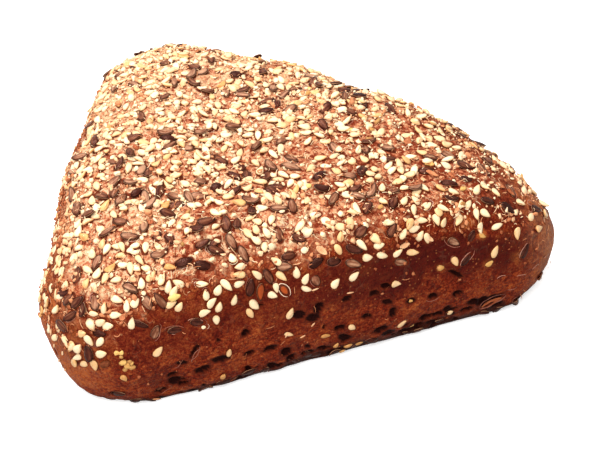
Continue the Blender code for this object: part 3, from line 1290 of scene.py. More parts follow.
@dataclass
class Crust:
    """The baked crust: one closed mesh whose top is a square grid bent onto the round crown."""

    form: RollForm
    view: Viewpoint
    cells: int = 184
    wall_rings: int = 66
    base_rings: int = 8
    crown_drop: float = 0.60
    bumps: tuple[tuple[float, float], ...] = ((7.0 * MM, 0.24 * MM), (3.0 * MM, 0.28 * MM), (1.3 * MM, 0.22 * MM))
    wall_calm: float = 0.50
    left_tuck: float = 1.2 * MM
    left_facing: Span = (0.55, 0.92)
    left_ends: tuple[Span, Span] = ((-22.0, -9.0), (44.0, 30.0))
    wall_tilt: Span = (35.0, 70.0)
    flat_hem: Span = (0.0, 3.0)
    wavy_height: Span = (6.0, 2.0)
    foot_waves: tuple[float, float] = (4.5 * MM, 0.85 * MM)
    pit_count: int = 180
    pit_length: tuple[float, float] = (1.3 * MM, 4.1 * MM)
    pit_depth: tuple[float, float] = (0.5 * MM, 1.2 * MM)
    pit_roundness: Span = (0.40, 0.90)
    pit_slant: float = 0.80
    # A ring of painted shade round each pit.
    pit_shade_ring: Span = (2.6, 1.0)
    pit_shade_ring_share: float = 0.85
    pit_tilt: Span = (55.0, 75.0)
    pit_height: Span = (12.0, 6.0)
    pit_left_end: Span = (38.0, 50.0)
    pit_full_size: float = 2.2 * MM
    pit_noise: Span = (0.25, 0.9)
    pit_rim: Span = (0.01, 0.12)
    pit_scarcity: Span = (0.04, 0.70)
    pit_steepest: float = 150.0
    pit_low: float = 1.2 * MM
    # Reach and depth of the painted shade round each seed.
    seed_shade_reach: Span = (1.4, 0.95)
    seed_shade_depth: Span = (1.6, 0.5)
    drape_reach: float = 5.0 * MM
    drape_blur: float = 0.45 * MM
    draws: np.random.Generator = field(default_factory=lambda: np.random.default_rng(7))
    points: Array = field(init=False)
    normals: Array = field(init=False)
    quads: Array = field(init=False)
    pits: Array = field(init=False)
    shade: Array = field(init=False)
    relief: Array = field(init=False)

    def __post_init__(self) -> None:
        """Work out the mesh, its smooth normals and its relief."""
        turn, drop = self.parameters()
        smooth = self.form.place(turn, drop)
        self.normals = self.form.normals(turn, drop)
        fade = np.clip(smooth[:, 2] / self.form.base_fade, 0.0, 1.0)
        points = smooth + self.normals * (self.form.swell(smooth) * fade)[:, None]
        points = self.with_base(points)
        self.normals = self.with_base_normals(self.normals)
        self.quads = self.faces()
        self.points = points
        self.pits = np.zeros(len(points))
        self.shade = np.zeros(len(points))
        self.roughen()

    def parameters(self) -> tuple[Array, Array]:
        """Return the turn and drop of every vertex of the crown and the walls.

        A vertex of the square grid lies on a square ring: the ring's size gives the drop and
        the place along the ring gives the turn.  The walls' rings go on from the outer one.

        Returns:
            Turns and drops, the crown's grid first.
        """
        side = np.linspace(-1.0, 1.0, self.cells + 1)
        across, along = np.meshgrid(side, side, indexing="ij")
        size = np.maximum(np.abs(across), np.abs(along))
        safe = np.maximum(size, 1e-9)
        a, b = across / safe, along / safe
        tight = 1 - 1e-9
        walk = np.select([a >= tight, b >= tight, a <= -tight], [b + 1, 3 - a, 5 - b], 7 + a)
        turn = np.mod(walk / 8, 1.0)
        drop = size * self.crown_drop
        round_ = np.arange(4 * self.cells) / (4 * self.cells)
        below = self.crown_drop + (1 - self.crown_drop) * np.arange(1, self.wall_rings + 1) / self.wall_rings
        wall_turn, wall_drop = np.meshgrid(round_, below, indexing="xy")
        return (np.concatenate([turn.ravel(), wall_turn.ravel()]),
                np.concatenate([drop.ravel(), wall_drop.ravel()]))

    def with_base(self, points: Array) -> Array:
        """Return the points with the flat base's rings and middle added.

        Args:
            points: Places in metres, the last axis x, y, z.

        Returns:
            The longer list of points.
        """
        foot = points[-4 * self.cells:].copy()
        middle = np.array([*self.form.centre, 0.0])
        shares = 1 - np.arange(1, self.base_rings) / self.base_rings
        rings = middle + (foot - middle) * shares[:, None, None]
        rings[..., 2] = 0.0
        points = np.concatenate([points, rings.reshape(-1, 3), middle[None]])
        points[-1, 2] = 0.0
        return points

    def with_base_normals(self, normals: Array) -> Array:
        """Return the normals with those of the base added, which point down."""
        count = (self.base_rings - 1) * 4 * self.cells + 1
        return np.concatenate([normals, np.tile([0.0, 0.0, -1.0], (count, 1))])

    def crown_rim(self) -> Array:
        """Return the vertex numbers round the square grid's edge, anticlockwise."""
        number = np.arange((self.cells + 1) ** 2).reshape(self.cells + 1, self.cells + 1)
        return np.concatenate([number[-1, :-1], number[::-1, -1][:-1], number[0, ::-1][:-1], number[:-1, 0]])

    def faces(self) -> Array:
        """Return the vertex numbers of every quad, from the crown to the base's last ring.

        Returns:
            One quad a row.
        """
        number = np.arange((self.cells + 1) ** 2).reshape(self.cells + 1, self.cells + 1)
        crown = np.stack([number[:-1, :-1], number[1:, :-1], number[1:, 1:], number[:-1, 1:]], axis=-1)
        rings = self.wall_rings + self.base_rings - 1
        lower = (self.cells + 1) ** 2 + np.arange(rings * 4 * self.cells).reshape(rings, -1)
        belt = np.concatenate([self.crown_rim()[None], lower])
        after = np.roll(belt, -1, axis=1)
        bands = np.stack([belt[:-1], belt[1:], after[1:], after[:-1]], axis=-1)
        return np.concatenate([crown.reshape(-1, 4), bands.reshape(-1, 4)])

    def roughen(self) -> None:
        """Add the crust's bumps and press pits into it, leaving the base flat."""
        tilt = tilt_of(self.normals)
        wall = ease(tilt, *self.wall_tilt)
        above = ease_mm(self.points[:, 2], *self.flat_hem)
        lift = np.zeros(len(self.points))
        for order, (cell, height) in enumerate(self.bumps):
            calm = 1 - self.wall_calm * wall * (order > 0)
            lift += height * calm * value_noise(self.points, cell, 11 + order)
        self.relief = np.clip(lift / (2 * self.bumps[1][1]), -1.0, 1.0)
        lift -= self.left_tuck * self.left_flank()
        foot = ease_mm(self.points[:, 2], *self.wavy_height) * (self.points[:, 2] > 0.3 * MM)
        lift += self.foot_waves[1] * foot * value_noise(self.points, self.foot_waves[0], 29)
        self.points = self.points + self.normals * (lift * above)[:, None]
        self.press_pits(above)

    def left_flank(self) -> Array:
        """Return the share of each vertex in the flank at the picture's left edge.

        Returns:
            Shares from 0 to 1.
        """
        aside = ease(-self.normals @ self.view.axes()[0], *self.left_facing)
        near, far = (ease_mm(self.points[:, 1], *end) for end in self.left_ends)
        return aside * near * far

    def press_pits(self, above: Array) -> None:
        """Press pits into the walls: those that show in the photo, and more by chance low down.

        A pit's depth falls off as (1 - e^2)^1.5, where e is the elliptical distance from its
        middle, measured in the tangent plane and made ragged by noise.  Its hollow is marked
        for painted shade, near black, and a ring round it for painted shade too.

        Args:
            above: Share of the relief that each vertex may take.
        """
        spots, facing = self.sample(self.pit_share, self.pit_count, self.draws)
        lean = np.cross(np.array([0.0, 0.0, 1.0]), facing)
        slant = self.draws.normal(0.0, self.pit_slant, self.pit_count)
        along = lean * np.cos(slant)[:, None] + np.cross(facing, lean) * np.sin(slant)[:, None]
        lengths = self.draws.uniform(*self.pit_length, self.pit_count)
        widths = lengths * self.draws.uniform(*self.pit_roundness, self.pit_count)
        shown = [self.shown_at(hollow.column, hollow.row, hollow.turn) for hollow in HOLLOWS]
        spots, facing, along = (np.concatenate([np.array(own), chance])
                                for own, chance in zip(zip(*shown), (spots, facing, along)))
        lengths = np.concatenate([[hollow.length for hollow in HOLLOWS], lengths])
        widths = np.concatenate([[hollow.width for hollow in HOLLOWS], widths])
        depths = self.draws.uniform(*self.pit_depth, len(lengths)) * ease(lengths, 0.0, self.pit_full_size)
        frames = turned_frames(facing, along)
        sunk = np.zeros(len(self.points))
        for spot, frame, length, width, depth in zip(spots, frames, lengths, widths, depths):
            near = np.flatnonzero(np.abs(self.points - spot).max(axis=1) < length)
            local = (self.points[near] - spot) @ frame.T
            wobble = 1 + self.pit_noise[0] * value_noise(self.points[near], self.pit_noise[1] * MM, 23)
            reach = ((local[:, 0] / (length / 2)) ** 2 + (local[:, 1] / (width / 2)) ** 2) * wobble
            bowl = np.clip(1 - reach, 0.0, 1.0) ** 1.5
            sunk[near] = np.maximum(sunk[near], depth * bowl)
            # The hollow and a ring round it are marked for painted shade.
            self.pits[near] = np.maximum(self.pits[near], ease(bowl, *self.pit_rim))
            self.shade[near] = np.maximum(self.shade[near], self.pit_shade_ring_share * ease(reach, *self.pit_shade_ring))
        self.points = self.points - self.normals * (sunk * above)[:, None]
        self.points[:, 2] = np.maximum(self.points[:, 2], 0.0)

    def shade_round_seeds(self, centres: Array, frames: Array, halves: Array) -> None:
        """Mark painted shade on the crust under and close round each seed.

        The mark is 1 up to the seed's rim and eases off to 0 at 1.4 times its half sizes.

        Args:
            centres: The seeds' middles.
            frames: The seeds' frames.
            halves: Half their lengths, widths and thicknesses.
        """
        for centre, frame, half in zip(centres, frames, halves):
            near = np.flatnonzero(np.abs(self.points - centre).max(axis=1) < 1.6 * half[0])
            local = (self.points[near] - centre) @ frame.T
            reach = np.hypot(local[:, 0] / half[0], local[:, 1] / half[1])
            close = ease(reach, *self.seed_shade_reach) * ease_mm(np.abs(local[:, 2]), *self.seed_shade_depth)
            self.shade[near] = np.maximum(self.shade[near], close)

    def pit_share(self, spots: Array, facing: Array) -> Array:
        """Return how many pits a place carries: many low on the walls, few on the shoulders.

        Args:
            spots: Places on the crust, one a row.
            facing: Outward normals there.

        Returns:
            Weights from 0 to 1.
        """
        tilt = tilt_of(facing)
        least, lack = self.pit_scarcity
        low = least + (1 - least) * ease_mm(spots[:, 2], *self.pit_height)
        left = 1 - lack * ease_mm(-spots[:, 0], *self.pit_left_end)
        on_wall = (tilt < self.pit_steepest) * (spots[:, 2] > self.pit_low)
        return ease(tilt, *self.pit_tilt) * low * left * on_wall

    def sample(self, share: Share, count: int, draws: np.random.Generator) -> tuple[Array, Array]:
        """Return random places on the crust.

        A face is drawn by its area times the share there, and a place in it by two random
        numbers that blend its four corners.

        Args:
            share: Function of places and normals that gives the wanted density.
            count: How many places.
            draws: Source of random numbers.

        Returns:
            Places and outward normals.
        """
        corners = self.points[self.quads]
        area = np.linalg.norm(np.cross(corners[:, 2] - corners[:, 0], corners[:, 3] - corners[:, 1]), axis=1)
        facing = unit(self.normals[self.quads].mean(axis=1))
        weight = area * share(corners.mean(axis=1), facing)
        picked = draws.choice(len(weight), size=count, p=weight / weight.sum())
        s, t = draws.random((2, count, 1))
        chosen = corners[picked]
        spots = ((chosen[:, 0] * (1 - s) + chosen[:, 1] * s) * (1 - t)
                 + (chosen[:, 3] * (1 - s) + chosen[:, 2] * s) * t)
        return spots, facing[picked]

    def shown_at(self, column: float, row: float, turn: float) -> tuple[Array, Array, Array]:
        """Return the place, normal and direction on the crust that show at a pixel.

        Args:
            column: Pixels from the left.
            row: Pixels from the top.
            turn: Direction in the picture, in degrees anticlockwise from the right.

        Returns:
            The nearest vertex that faces the camera, its normal, and the direction along the
            crust that shows as the wanted one.
        """
        seen, depth = self.view.project(self.points)
        towards = unit(self.view.eye() - self.points)
        facing = np.sum(towards * self.normals, axis=1) > 0.08
        miss = np.hypot(seen[:, 0] - column, seen[:, 1] - row)
        near = facing & (miss < max(2.0, miss[facing].min() + 1.0))
        best = int(np.argmin(np.where(near, miss + 40 * (depth - depth.min()), np.inf)))
        normal = self.normals[best]
        right, up, back = self.view.axes()
        flat = right * math.cos(math.radians(turn)) + up * math.sin(math.radians(turn))
        along = flat - back * float(flat @ normal) / max(float(back @ normal), 0.25)
        return self.points[best], normal, along

    def drape(self, local: Array, origin: Array, frame: Array) -> Array:
        """Return how high the crust stands at places of a frame that lies on it.

        The height is the mean of the near vertices' heights, weighed by a bell curve of their
        distance across the frame's plane.

        Args:
            local: Places by their x and y in the frame.
            origin: The frame's origin.
            frame: Its axes, one row each.

        Returns:
            Heights along the frame's z.
        """
        near = self.points[np.linalg.norm(self.points - origin, axis=1) < self.drape_reach]
        seen = (near - origin) @ frame.T
        away = np.sum((seen[None, :, :2] - local[:, None]) ** 2, axis=2)
        weight = np.exp(-away / (2 * self.drape_blur ** 2)) * (seen[:, 2] > -self.drape_reach / 2)
        return weight @ seen[:, 2] / np.maximum(weight.sum(axis=1), 1e-9)

    def build(self) -> Piece:
        """Make the crust's piece, with the attributes that its finish reads.

        Returns:
            The crust's object.
        """
        last = len(self.points) - 1
        ring = last - 4 * self.cells + np.arange(4 * self.cells)
        fan = np.stack([ring, np.full_like(ring, last), np.roll(ring, -1)], axis=-1)
        corners = np.concatenate([self.quads.ravel(), fan.ravel()])
        sizes = np.concatenate([np.full(len(self.quads), 4), np.full(len(fan), 3)])
        piece = fill_mesh("crust", self.points, corners, sizes)
        own = ("relief", self.relief), ("pit", self.pits), ("shade", self.shade)
        for name, values in (*Bake(self).layers(), *own):
            paint(piece, name, values)
        piece.data.materials.append(CrustFinish().material())
        return piece


@dataclass(frozen=True)
class WarmPatch:
    """An orange patch that stands out in the photo, placed by its pixel; its radius is in millimetres."""

    column: float
    row: float
    radius: float


WARM_PATCHES = (
    WarmPatch(463, 222, 2.6), WarmPatch(463, 188, 1.6), WarmPatch(482, 236, 1.9), WarmPatch(314, 206, 1.5),
    WarmPatch(515, 256, 2.0), WarmPatch(440, 267, 1.6), WarmPatch(489, 263, 1.8))


@dataclass
class Bake:
    """How the crust is baked and dusted, and where light and shade are painted on it, as a number for every vertex.

    A pair named for a place says where an effect starts and where it is full, in millimetres
    along x, y or z; one named for a tilt is in degrees from level, and one named for what faces
    a side is a part of the normal.  A noise is a pair of its height and the size of its cells.
    What counts as steeper or flatter does so by that many degrees, and shares are the strengths
    of the effects that the methods name.
    """

    crust: Crust
    facing_left: Span = (0.30, 0.85)
    facing_corner: Span = (0.30, 0.80)
    facing_front: Span = (0.10, 0.45)
    baked_tilt: Span = (24.0, 58.0)
    baked_noises: tuple[Span, Span] = ((9.0, 4.0), (6.0, 1.5))
    # Painted shade: the right counts as steeper where the crust turns away from the lamp.
    shaded_right: Span = (18.0, 52.0)
    baked_left_end: Span = (15.0, 42.0)
    baked_front: Span = (2.0, 36.0)
    baked_near: Span = (2.0, 16.0)
    # How much steeper the right counts, as painted shade.
    shaded_right_steeper: float = 14.0
    front_steeper: float = 13.0
    corner_steeper: float = 14.0
    left_end_flatter: float = 10.0
    flank_flatter: float = 34.0
    flank_height: Span = (12.0, 20.0)
    floury_tilt: Span = (50.0, 24.0)
    floury_back: Span = (-8.0, 14.0)
    # On the nose the flour is also painted light.
    flour_and_light_nose: Span = (48.0, 63.0)
    floury_noise: Span = (0.5, 6.0)
    floury_shares: tuple[float, float, float] = (0.02, 0.80, 0.18)
    floury_mean: float = 0.75
    orange_height: Span = (2.0, 9.0)
    # On the nose the orange is partly painted light.
    orange_nose: Span = (50.0, 62.0)
    brown_foot: Span = (9.0, 5.0)
    orange_shares: Span = (0.95, 0.85)
    brown_share: float = 0.45
    patch_noise: Span = (0.35, 1.4)
    patch_share: float = 1.6
    patch_core: float = 0.35
    # Where the crust between the seeds is darker: toasting, and on the right also painted shade.
    toasted_left: Span = (14.0, 38.0)
    toasted_right: Span = (15.0, 45.0)
    toasted_tilt: Span = (34.0, 52.0)
    toasted_flank: Span = (10.0, 40.0)
    toasted_edge: tuple[Span, Span] = ((-6.0, 20.0), (2.0, 20.0))
    toasted_fade: float = 0.8
    toasted_crown: Span = (0.6, 0.4)
    toasted_shares: Span = (1.2, 2.0)
    # Where the painted shade under the shoulder lies.
    shoulder_shade_tilts: tuple[Span, Span] = ((54.0, 65.0), (90.0, 76.0))
    shoulder_shade_noises: tuple[Span, Span] = ((5.0, 5.0), (3.0, 1.8))
    shoulder_shade_front: Span = (0.10, 0.50)
    shoulder_shade_right: Span = (-25.0, 22.0)
    shoulder_shade_nose: Span = (46.0, 58.0)
    shoulder_shade_shares: Span = (0.50, 0.50)
    shoulder_shade_fade: float = 0.8
    dark_hem_height: Span = (4.4, 2.2)
    dark_hem_right: Span = (-35.0, 5.0)
    dark_hem_fade: float = 3.2
    dark_hem_noise: Span = (1.6, 3.5)

    def __post_init__(self) -> None:
        """Read the crust's places, normals and slopes."""
        self.points, self.normals = self.crust.points, self.crust.normals
        self.x, self.y, self.z = self.points.T
        self.tilt = tilt_of(self.normals)
        self.front = ease(-self.normals[:, 1], *self.facing_front)

    def noise(self, shape: Span, salt: int) -> Array:
        """Return noise of a height, with cells of a size in millimetres."""
        return shape[0] * value_noise(self.points, shape[1] * MM, salt)

    def bake(self) -> Array:
        """Return how far the crust is baked, 0 on the crown and 1 down the walls.

        The slope decides, made ragged by noise; the right, the front and the near corner count
        as steeper than they are, and the left end of the front and the left flank as less steep.
        On the right this is painted shade, where the crust turns away from the lamp.

        Returns:
            Shares from 0 to 1, one for each vertex.
        """
        ragged = self.noise(self.baked_noises[0], 31) + self.noise(self.baked_noises[1], 32)
        left_end = ease_mm(-self.x, *self.baked_left_end) * self.front
        # The right's share is painted shade.
        darker = (self.shaded_right_steeper * ease_mm(self.x, *self.shaded_right)
                  + self.front_steeper * self.front * ease_mm(self.x, *self.baked_front)
                  - self.left_end_flatter * left_end)
        corner = ease(-self.normals[:, 0], *self.facing_corner) * ease_mm(-self.y, *self.baked_near)
        flank = self.crust.left_flank() * ease_mm(self.z, *self.flank_height)
        darker = darker + self.corner_steeper * corner - self.flank_flatter * flank
        return ease(seeded_tilt(self.points, self.normals) + ragged + darker, *self.baked_tilt)

    def flour_and_light(self) -> Array:
        """Return how much flour lies on the crust, most at the back left; on the right nose, which
        faces away from the lamp, it is also painted light.

        Returns:
            Shares from 0 to 1, one for each vertex.
        """
        nose = ease_mm(self.x, *self.flour_and_light_nose)
        patches = self.floury_mean + self.noise(self.floury_noise, 37)
        behind = back_left(self.points) * ease_mm(self.y, *self.floury_back)
        everywhere, at_back, at_nose = self.floury_shares
        top = (everywhere + at_back * behind) * ease(self.tilt, *self.floury_tilt)
        return np.clip(top + at_nose * nose, 0.0, 1.0) * patches

    def warmth(self) -> Array:
        """Return how orange or how dark the crust is baked, from 1 to -1.

        The flank that faces left, the nose and the placed patches are orange; the foot is dark.
        On the nose, which faces away from the lamp, the orange is partly painted light.

        Returns:
            Values from -1 to 1, one for each vertex.
        """
        left = ease(-self.normals[:, 0], *self.facing_left) * ease_mm(self.z, *self.orange_height)
        nose = ease_mm(self.x, *self.orange_nose)
        at_left, at_nose = self.orange_shares
        warm = at_left * left + at_nose * nose - self.brown_share * ease_mm(self.z, *self.brown_foot)
        ragged = 1 + self.noise(self.patch_noise, 47)
        for patch in WARM_PATCHES:
            middle, _, _ = self.crust.shown_at(patch.column, patch.row, 0.0)
            away = np.linalg.norm(self.points - middle, axis=1) * ragged
            radius = patch.radius * MM
            warm = np.maximum(warm, self.patch_share * ease(away, radius, self.patch_core * radius))
        return warm

    def toast_and_shade(self) -> Array:
        """Return how dark the crust between the seeds is, most along the front and on the right:
        toasting, and on the right also painted shade where the crown turns away from the lamp.

        Returns:
            Shares from 0 to 1, one for each vertex.
        """
        least, more = self.toasted_crown
        crown = front_right(self.points) * (1 - self.toasted_fade * ease_mm(-self.x, *self.toasted_left))
        crown = crown * (least + more * ease_mm(self.x, *self.toasted_right))
        steep = ease(self.tilt, *self.toasted_tilt) * ease_mm(-self.x, *self.toasted_flank)
        left = ease(-self.normals[:, 0], *self.facing_corner)
        right, near = self.toasted_edge
        edge = ease_mm(self.x, *right) * ease_mm(-self.y, *near)
        at_edge, at_left = self.toasted_shares
        return crown + at_edge * edge + at_left * steep * np.maximum(self.front, left)

    def shoulder_shade(self) -> Array:
        """Return the painted shade of the band under the shoulder, most on the right of the front.

        Returns:
            Shares from 0 to 1, one for each vertex.
        """
        ragged = self.tilt + self.noise(self.shoulder_shade_noises[0], 45) + self.noise(self.shoulder_shade_noises[1], 46)
        upper, lower = self.shoulder_shade_tilts
        band = ease(ragged, *upper) * ease(ragged, *lower)
        front = ease(-self.normals[:, 1], *self.shoulder_shade_front)
        least, more = self.shoulder_shade_shares
        right = least + more * ease_mm(self.x, *self.shoulder_shade_right)
        return band * front * right * (1 - self.shoulder_shade_fade * ease_mm(self.x, *self.shoulder_shade_nose))

    def dark_hem(self) -> Array:
        """Return how dark the crust is along the foot: a ragged dark hem, highest on the right.

        Returns:
            Shares from 0 to 1, one for each vertex.
        """
        ragged = self.z + MM * self.noise(self.dark_hem_noise, 43)
        low, more = self.dark_hem_height
        top = (low + more * ease_mm(self.x, *self.dark_hem_right)) * MM
        return np.clip((top - ragged) / (self.dark_hem_fade * MM), 0.0, 1.0)

    def layers(self) -> list[tuple[str, Array]]:
        """Return every layer by the name under which the crust's finish reads it."""
        makers = (self.bake, self.flour_and_light, self.warmth, self.toast_and_shade, self.shoulder_shade, self.dark_hem)
        return [(maker.__name__, maker()) for maker in makers]


# ---- Seeds ----


class Kind(Enum):
    """The two seeds of the topping."""

    SESAME = "sesame"
    LINSEED = "linseed"


@dataclass(frozen=True)
class SeedShape:
    """One kind of seed: a flat drop with a tip at its +x end."""

    length: float
    width: float
    thickness: float
    taper: float
    flatness: float
    spread: float
    around: int = 12
    rings: int = 4
    unevenness: float = 0.0

    def template(self) -> tuple[Array, Array]:
        """Return the seed's points, at half size one, and how far each is down its side.

        Going round by an angle, x is its cosine and y its sine, narrowed towards the tip by
        1 - taper ((1 + cos) / 2)^1.5 and brought back to a half width of one.  Going over by a
        second angle, the section is a superellipse: cos^flatness outwards and sin upwards.

        Returns:
            Points of shape (n, 3), a pole first and last, and sides of shape (n,), which are 0
            at the upper pole and 1 at the rim and below it.
        """
        over = np.linspace(math.pi / 2, -math.pi / 2, self.rings + 2)[1:-1]
        out = np.cos(over) ** self.flatness
        round_ = FULL_TURN * np.arange(self.around) / self.around
        cos, sin = np.cos(round_), np.sin(round_)
        narrow = sin * (1 - self.taper * ((1 + cos) / 2) ** 1.5)
        narrow = narrow / np.abs(narrow).max()
        x = out[:, None] * cos
        y = out[:, None] * narrow
        z = np.repeat(np.sin(over)[:, None], self.around, axis=1)
        body = np.stack([x, y, z], axis=-1).reshape(-1, 3)
        points = np.concatenate([[[0.0, 0.0, 1.0]], body, [[0.0, 0.0, -1.0]]])
        return points, np.clip(1 - points[:, 2], 0.0, 1.0)

    def faces(self) -> tuple[Array, Array]:
        """Return one seed's face corners and face sizes, with fans at both poles.

        Returns:
            Vertex numbers of all corners in a row, and the number of corners of each face.
        """
        number = 1 + np.arange(self.rings * self.around).reshape(self.rings, self.around)
        after = np.roll(number, -1, axis=1)
        bands = np.stack([number[:-1], number[1:], after[1:], after[:-1]], axis=-1).reshape(-1, 4)
        last = self.rings * self.around + 1
        top = np.stack([np.zeros(self.around, int), number[0], after[0]], axis=-1)
        bottom = np.stack([number[-1], np.full(self.around, last), after[-1]], axis=-1)
        corners = np.concatenate([top.ravel(), bands.ravel(), bottom.ravel()])
        sizes = np.concatenate([np.full(self.around, 3), np.full(len(bands), 4), np.full(self.around, 3)])
        return corners, sizes


SEED_SHAPES = {
    Kind.SESAME: SeedShape(3.12 * MM, 1.72 * MM, 0.86 * MM, 0.62, 0.70, 0.15, unevenness=0.11),
    Kind.LINSEED: SeedShape(4.40 * MM, 2.20 * MM, 1.02 * MM, 0.38, 0.90, 0.14, unevenness=0.05),
}


@dataclass(frozen=True)
class SpotGroup:
    """Seeds that stand out in the photo, placed by the pixel where the middle of each shows.

    places holds a column, a row and a turn for each: its long axis in the picture, in degrees
    anticlockwise from the right.  sunk is the share of the thickness that lies in the crust.
    """

    kind: Kind
    tone: float
    places: tuple[tuple[float, float, float], ...]
    scale: float = 1.0
    sunk: float = 0.25


@dataclass
class SeedBed:
    """Seeds resting on the crust and on each other, found one at a time.

    A seed's footprint is sampled at points of its ellipse.  At each point the surface under
    it is the crust or the dome of a seed that already lies there.  A plane fitted to those
    heights gives its lean, and the highest contact gives its lift.
    """

    crust: Crust
    draws: np.random.Generator
    steepest_lean: float = 0.75
    wall_rise: Span = (0.75, 0.35)
    wall_flatness: float = 0.75
    touch_share: float = 92.0
    tumble: float = 0.19
    rings: tuple[tuple[float, int], ...] = ((0.4, 6), (0.72, 9), (0.95, 12))
    neighbourhood: float = 6.0 * MM
    flank_facing: Span = (0.45, 0.85)
    flank_sink: float = 0.45
    most_edgewise: float = 0.72
    front_flatness: float = 0.8
    foot_gap: float = 0.4 * MM
    floor_gap: float = 0.05 * MM
    back_pallor: float = 0.24
    palest: float = 0.92
    sesame_tones: Span = (0.27, 0.22)
    linseed_tones: Span = (0.46, 0.24)
    shown_tones: Span = (-0.06, 0.06)
    bend: float = 0.16
    dimples: Span = (-0.15, 0.45)
    dimple_size: float = 0.22
    kinds: list[Kind] = field(default_factory=list)
    tones: list[float] = field(default_factory=list)
    centres: list[Array] = field(default_factory=list)
    frames: list[Array] = field(default_factory=list)
    halves: list[Array] = field(default_factory=list)

    def footprint(self) -> Array:
        """Return points of the unit disc: its middle and three rings of them.

        Returns:
            Points in the plane, one a row.
        """
        rings = [np.zeros((1, 2))]
        for radius, count in self.rings:
            angle = FULL_TURN * np.arange(count) / count
            rings.append(radius * np.stack([np.cos(angle), np.sin(angle)], axis=1))
        return np.concatenate(rings)

    def heights_under(self, spots: Array, normal: Array) -> Array:
        """Return how high the seeds that already lie here stand above places on the crust.

        Args:
            spots: Places in the new seed's tangent plane.
            normal: The crust's normal there.

        Returns:
            Heights along the normal, 0 where there is only crust.
        """
        heights = np.zeros(len(spots))
        if not self.centres:
            return heights
        centres = np.array(self.centres)
        near = np.flatnonzero(np.linalg.norm(centres - spots[0], axis=1) < self.neighbourhood)
        for index in near:
            frame, half = self.frames[index], self.halves[index]
            facing = max(float(normal @ frame[2]), 0.3)
            offset = spots - centres[index]
            local = offset @ frame.T
            inside = 1 - (local[:, 0] / half[0]) ** 2 - (local[:, 1] / half[1]) ** 2
            plane = -(offset @ frame[2]) / facing
            dome = plane + half[2] * np.sqrt(np.clip(inside, 0.0, 1.0)) / facing
            heights = np.maximum(heights, np.where(inside > 0, dome, 0.0))
        return heights

    def rest(self, spot: Array, normal: Array, along: Array, half: Array,
             sunk: float) -> tuple[Array, Array, float]:
        """Return where a seed comes to rest.

        Args:
            spot: Place on the crust.
            normal: The crust's normal.
            along: Direction of the seed's long axis.
            half: Half its length, width and thickness.
            sunk: Share of its thickness that lies in the crust.

        Returns:
            The seed's middle, its frame and the mean height of what lies under it.
        """
        flat = turned_frames(normal[None], along[None])[0]
        disc = self.footprint()
        reach = disc * half[:2]
        under = self.heights_under(spot + reach @ flat[:2], normal)
        sums = np.stack([np.ones(len(disc)), reach[:, 0], reach[:, 1]], axis=1)
        _, lean_x, lean_y = np.linalg.lstsq(sums, under, rcond=None)[0]
        lean = np.array([lean_x, lean_y]) + self.draws.normal(0.0, self.tumble, 2)
        steepest = self.steepest_lean * (1 - self.wall_flatness * float(ease(normal[2], *self.wall_rise)))
        lean *= min(1.0, steepest / max(float(np.hypot(*lean)), 1e-9))
        belly = half[2] * np.sqrt(1 - np.sum(disc ** 2, axis=1))
        clear = under - reach @ lean + belly
        lift = float(np.percentile(clear, self.touch_share)) - 2 * half[2] * sunk
        tilted = unit(normal - flat[0] * lean[0] - flat[1] * lean[1])
        frame = turned_frames(tilted[None], along[None])[0]
        return spot + normal * lift, frame, float(under.mean())

    def keep(self, kind: Kind, centre: Array, frame: Array, half: Array, tone: float) -> None:
        """Add a seed where it came to rest.

        Args:
            kind: Which seed.
            centre: Its middle.
            frame: Directions of the seed's length, width and thickness, as rows.
            half: Half its length, width and thickness.
            tone: Its tone from 0 to 1, as its finish takes it.
        """
        self.kinds.append(kind)
        self.tones.append(tone)
        self.centres.append(centre)
        self.frames.append(frame)
        self.halves.append(half)

    def half_sizes(self, kind: Kind, scale: float = 1.0) -> Array:
        """Return half the length, width and thickness of one seed, as uneven as the real ones.

        Args:
            kind: Which seed.
            scale: How many times its usual size.

        Returns:
            Three half sizes in metres.
        """
        shape = SEED_SHAPES[kind]
        vary = 1 + shape.spread * np.clip(self.draws.normal(0.0, 0.6, 3), -1.3, 1.3)
        return np.array([shape.length, shape.width, shape.thickness]) / 2 * vary * scale

    def lay_group(self, group: SpotGroup) -> None:
        """Lay seeds where the picture shows them.

        Args:
            group: The seeds, with their places in the picture.
        """
        for column, row, turn in group.places:
            place, normal, along = self.crust.shown_at(column, row, turn)
            half = self.half_sizes(group.kind, group.scale)
            centre, frame, _ = self.rest(place, normal, along, half, group.sunk)
            tone = group.tone + self.draws.uniform(*self.shown_tones) * (group.tone < self.palest)
            self.keep(group.kind, centre, frame, half, float(np.clip(tone, 0.0, 1.0)))

    def mixed(self, sowing: "Sowing") -> list[Kind]:
        """Return both kinds, shuffled, as they fall from the hand."""
        kinds = [Kind.SESAME] * sowing.sesame + [Kind.LINSEED] * sowing.linseed
        return [kinds[index] for index in self.draws.permutation(len(kinds))]

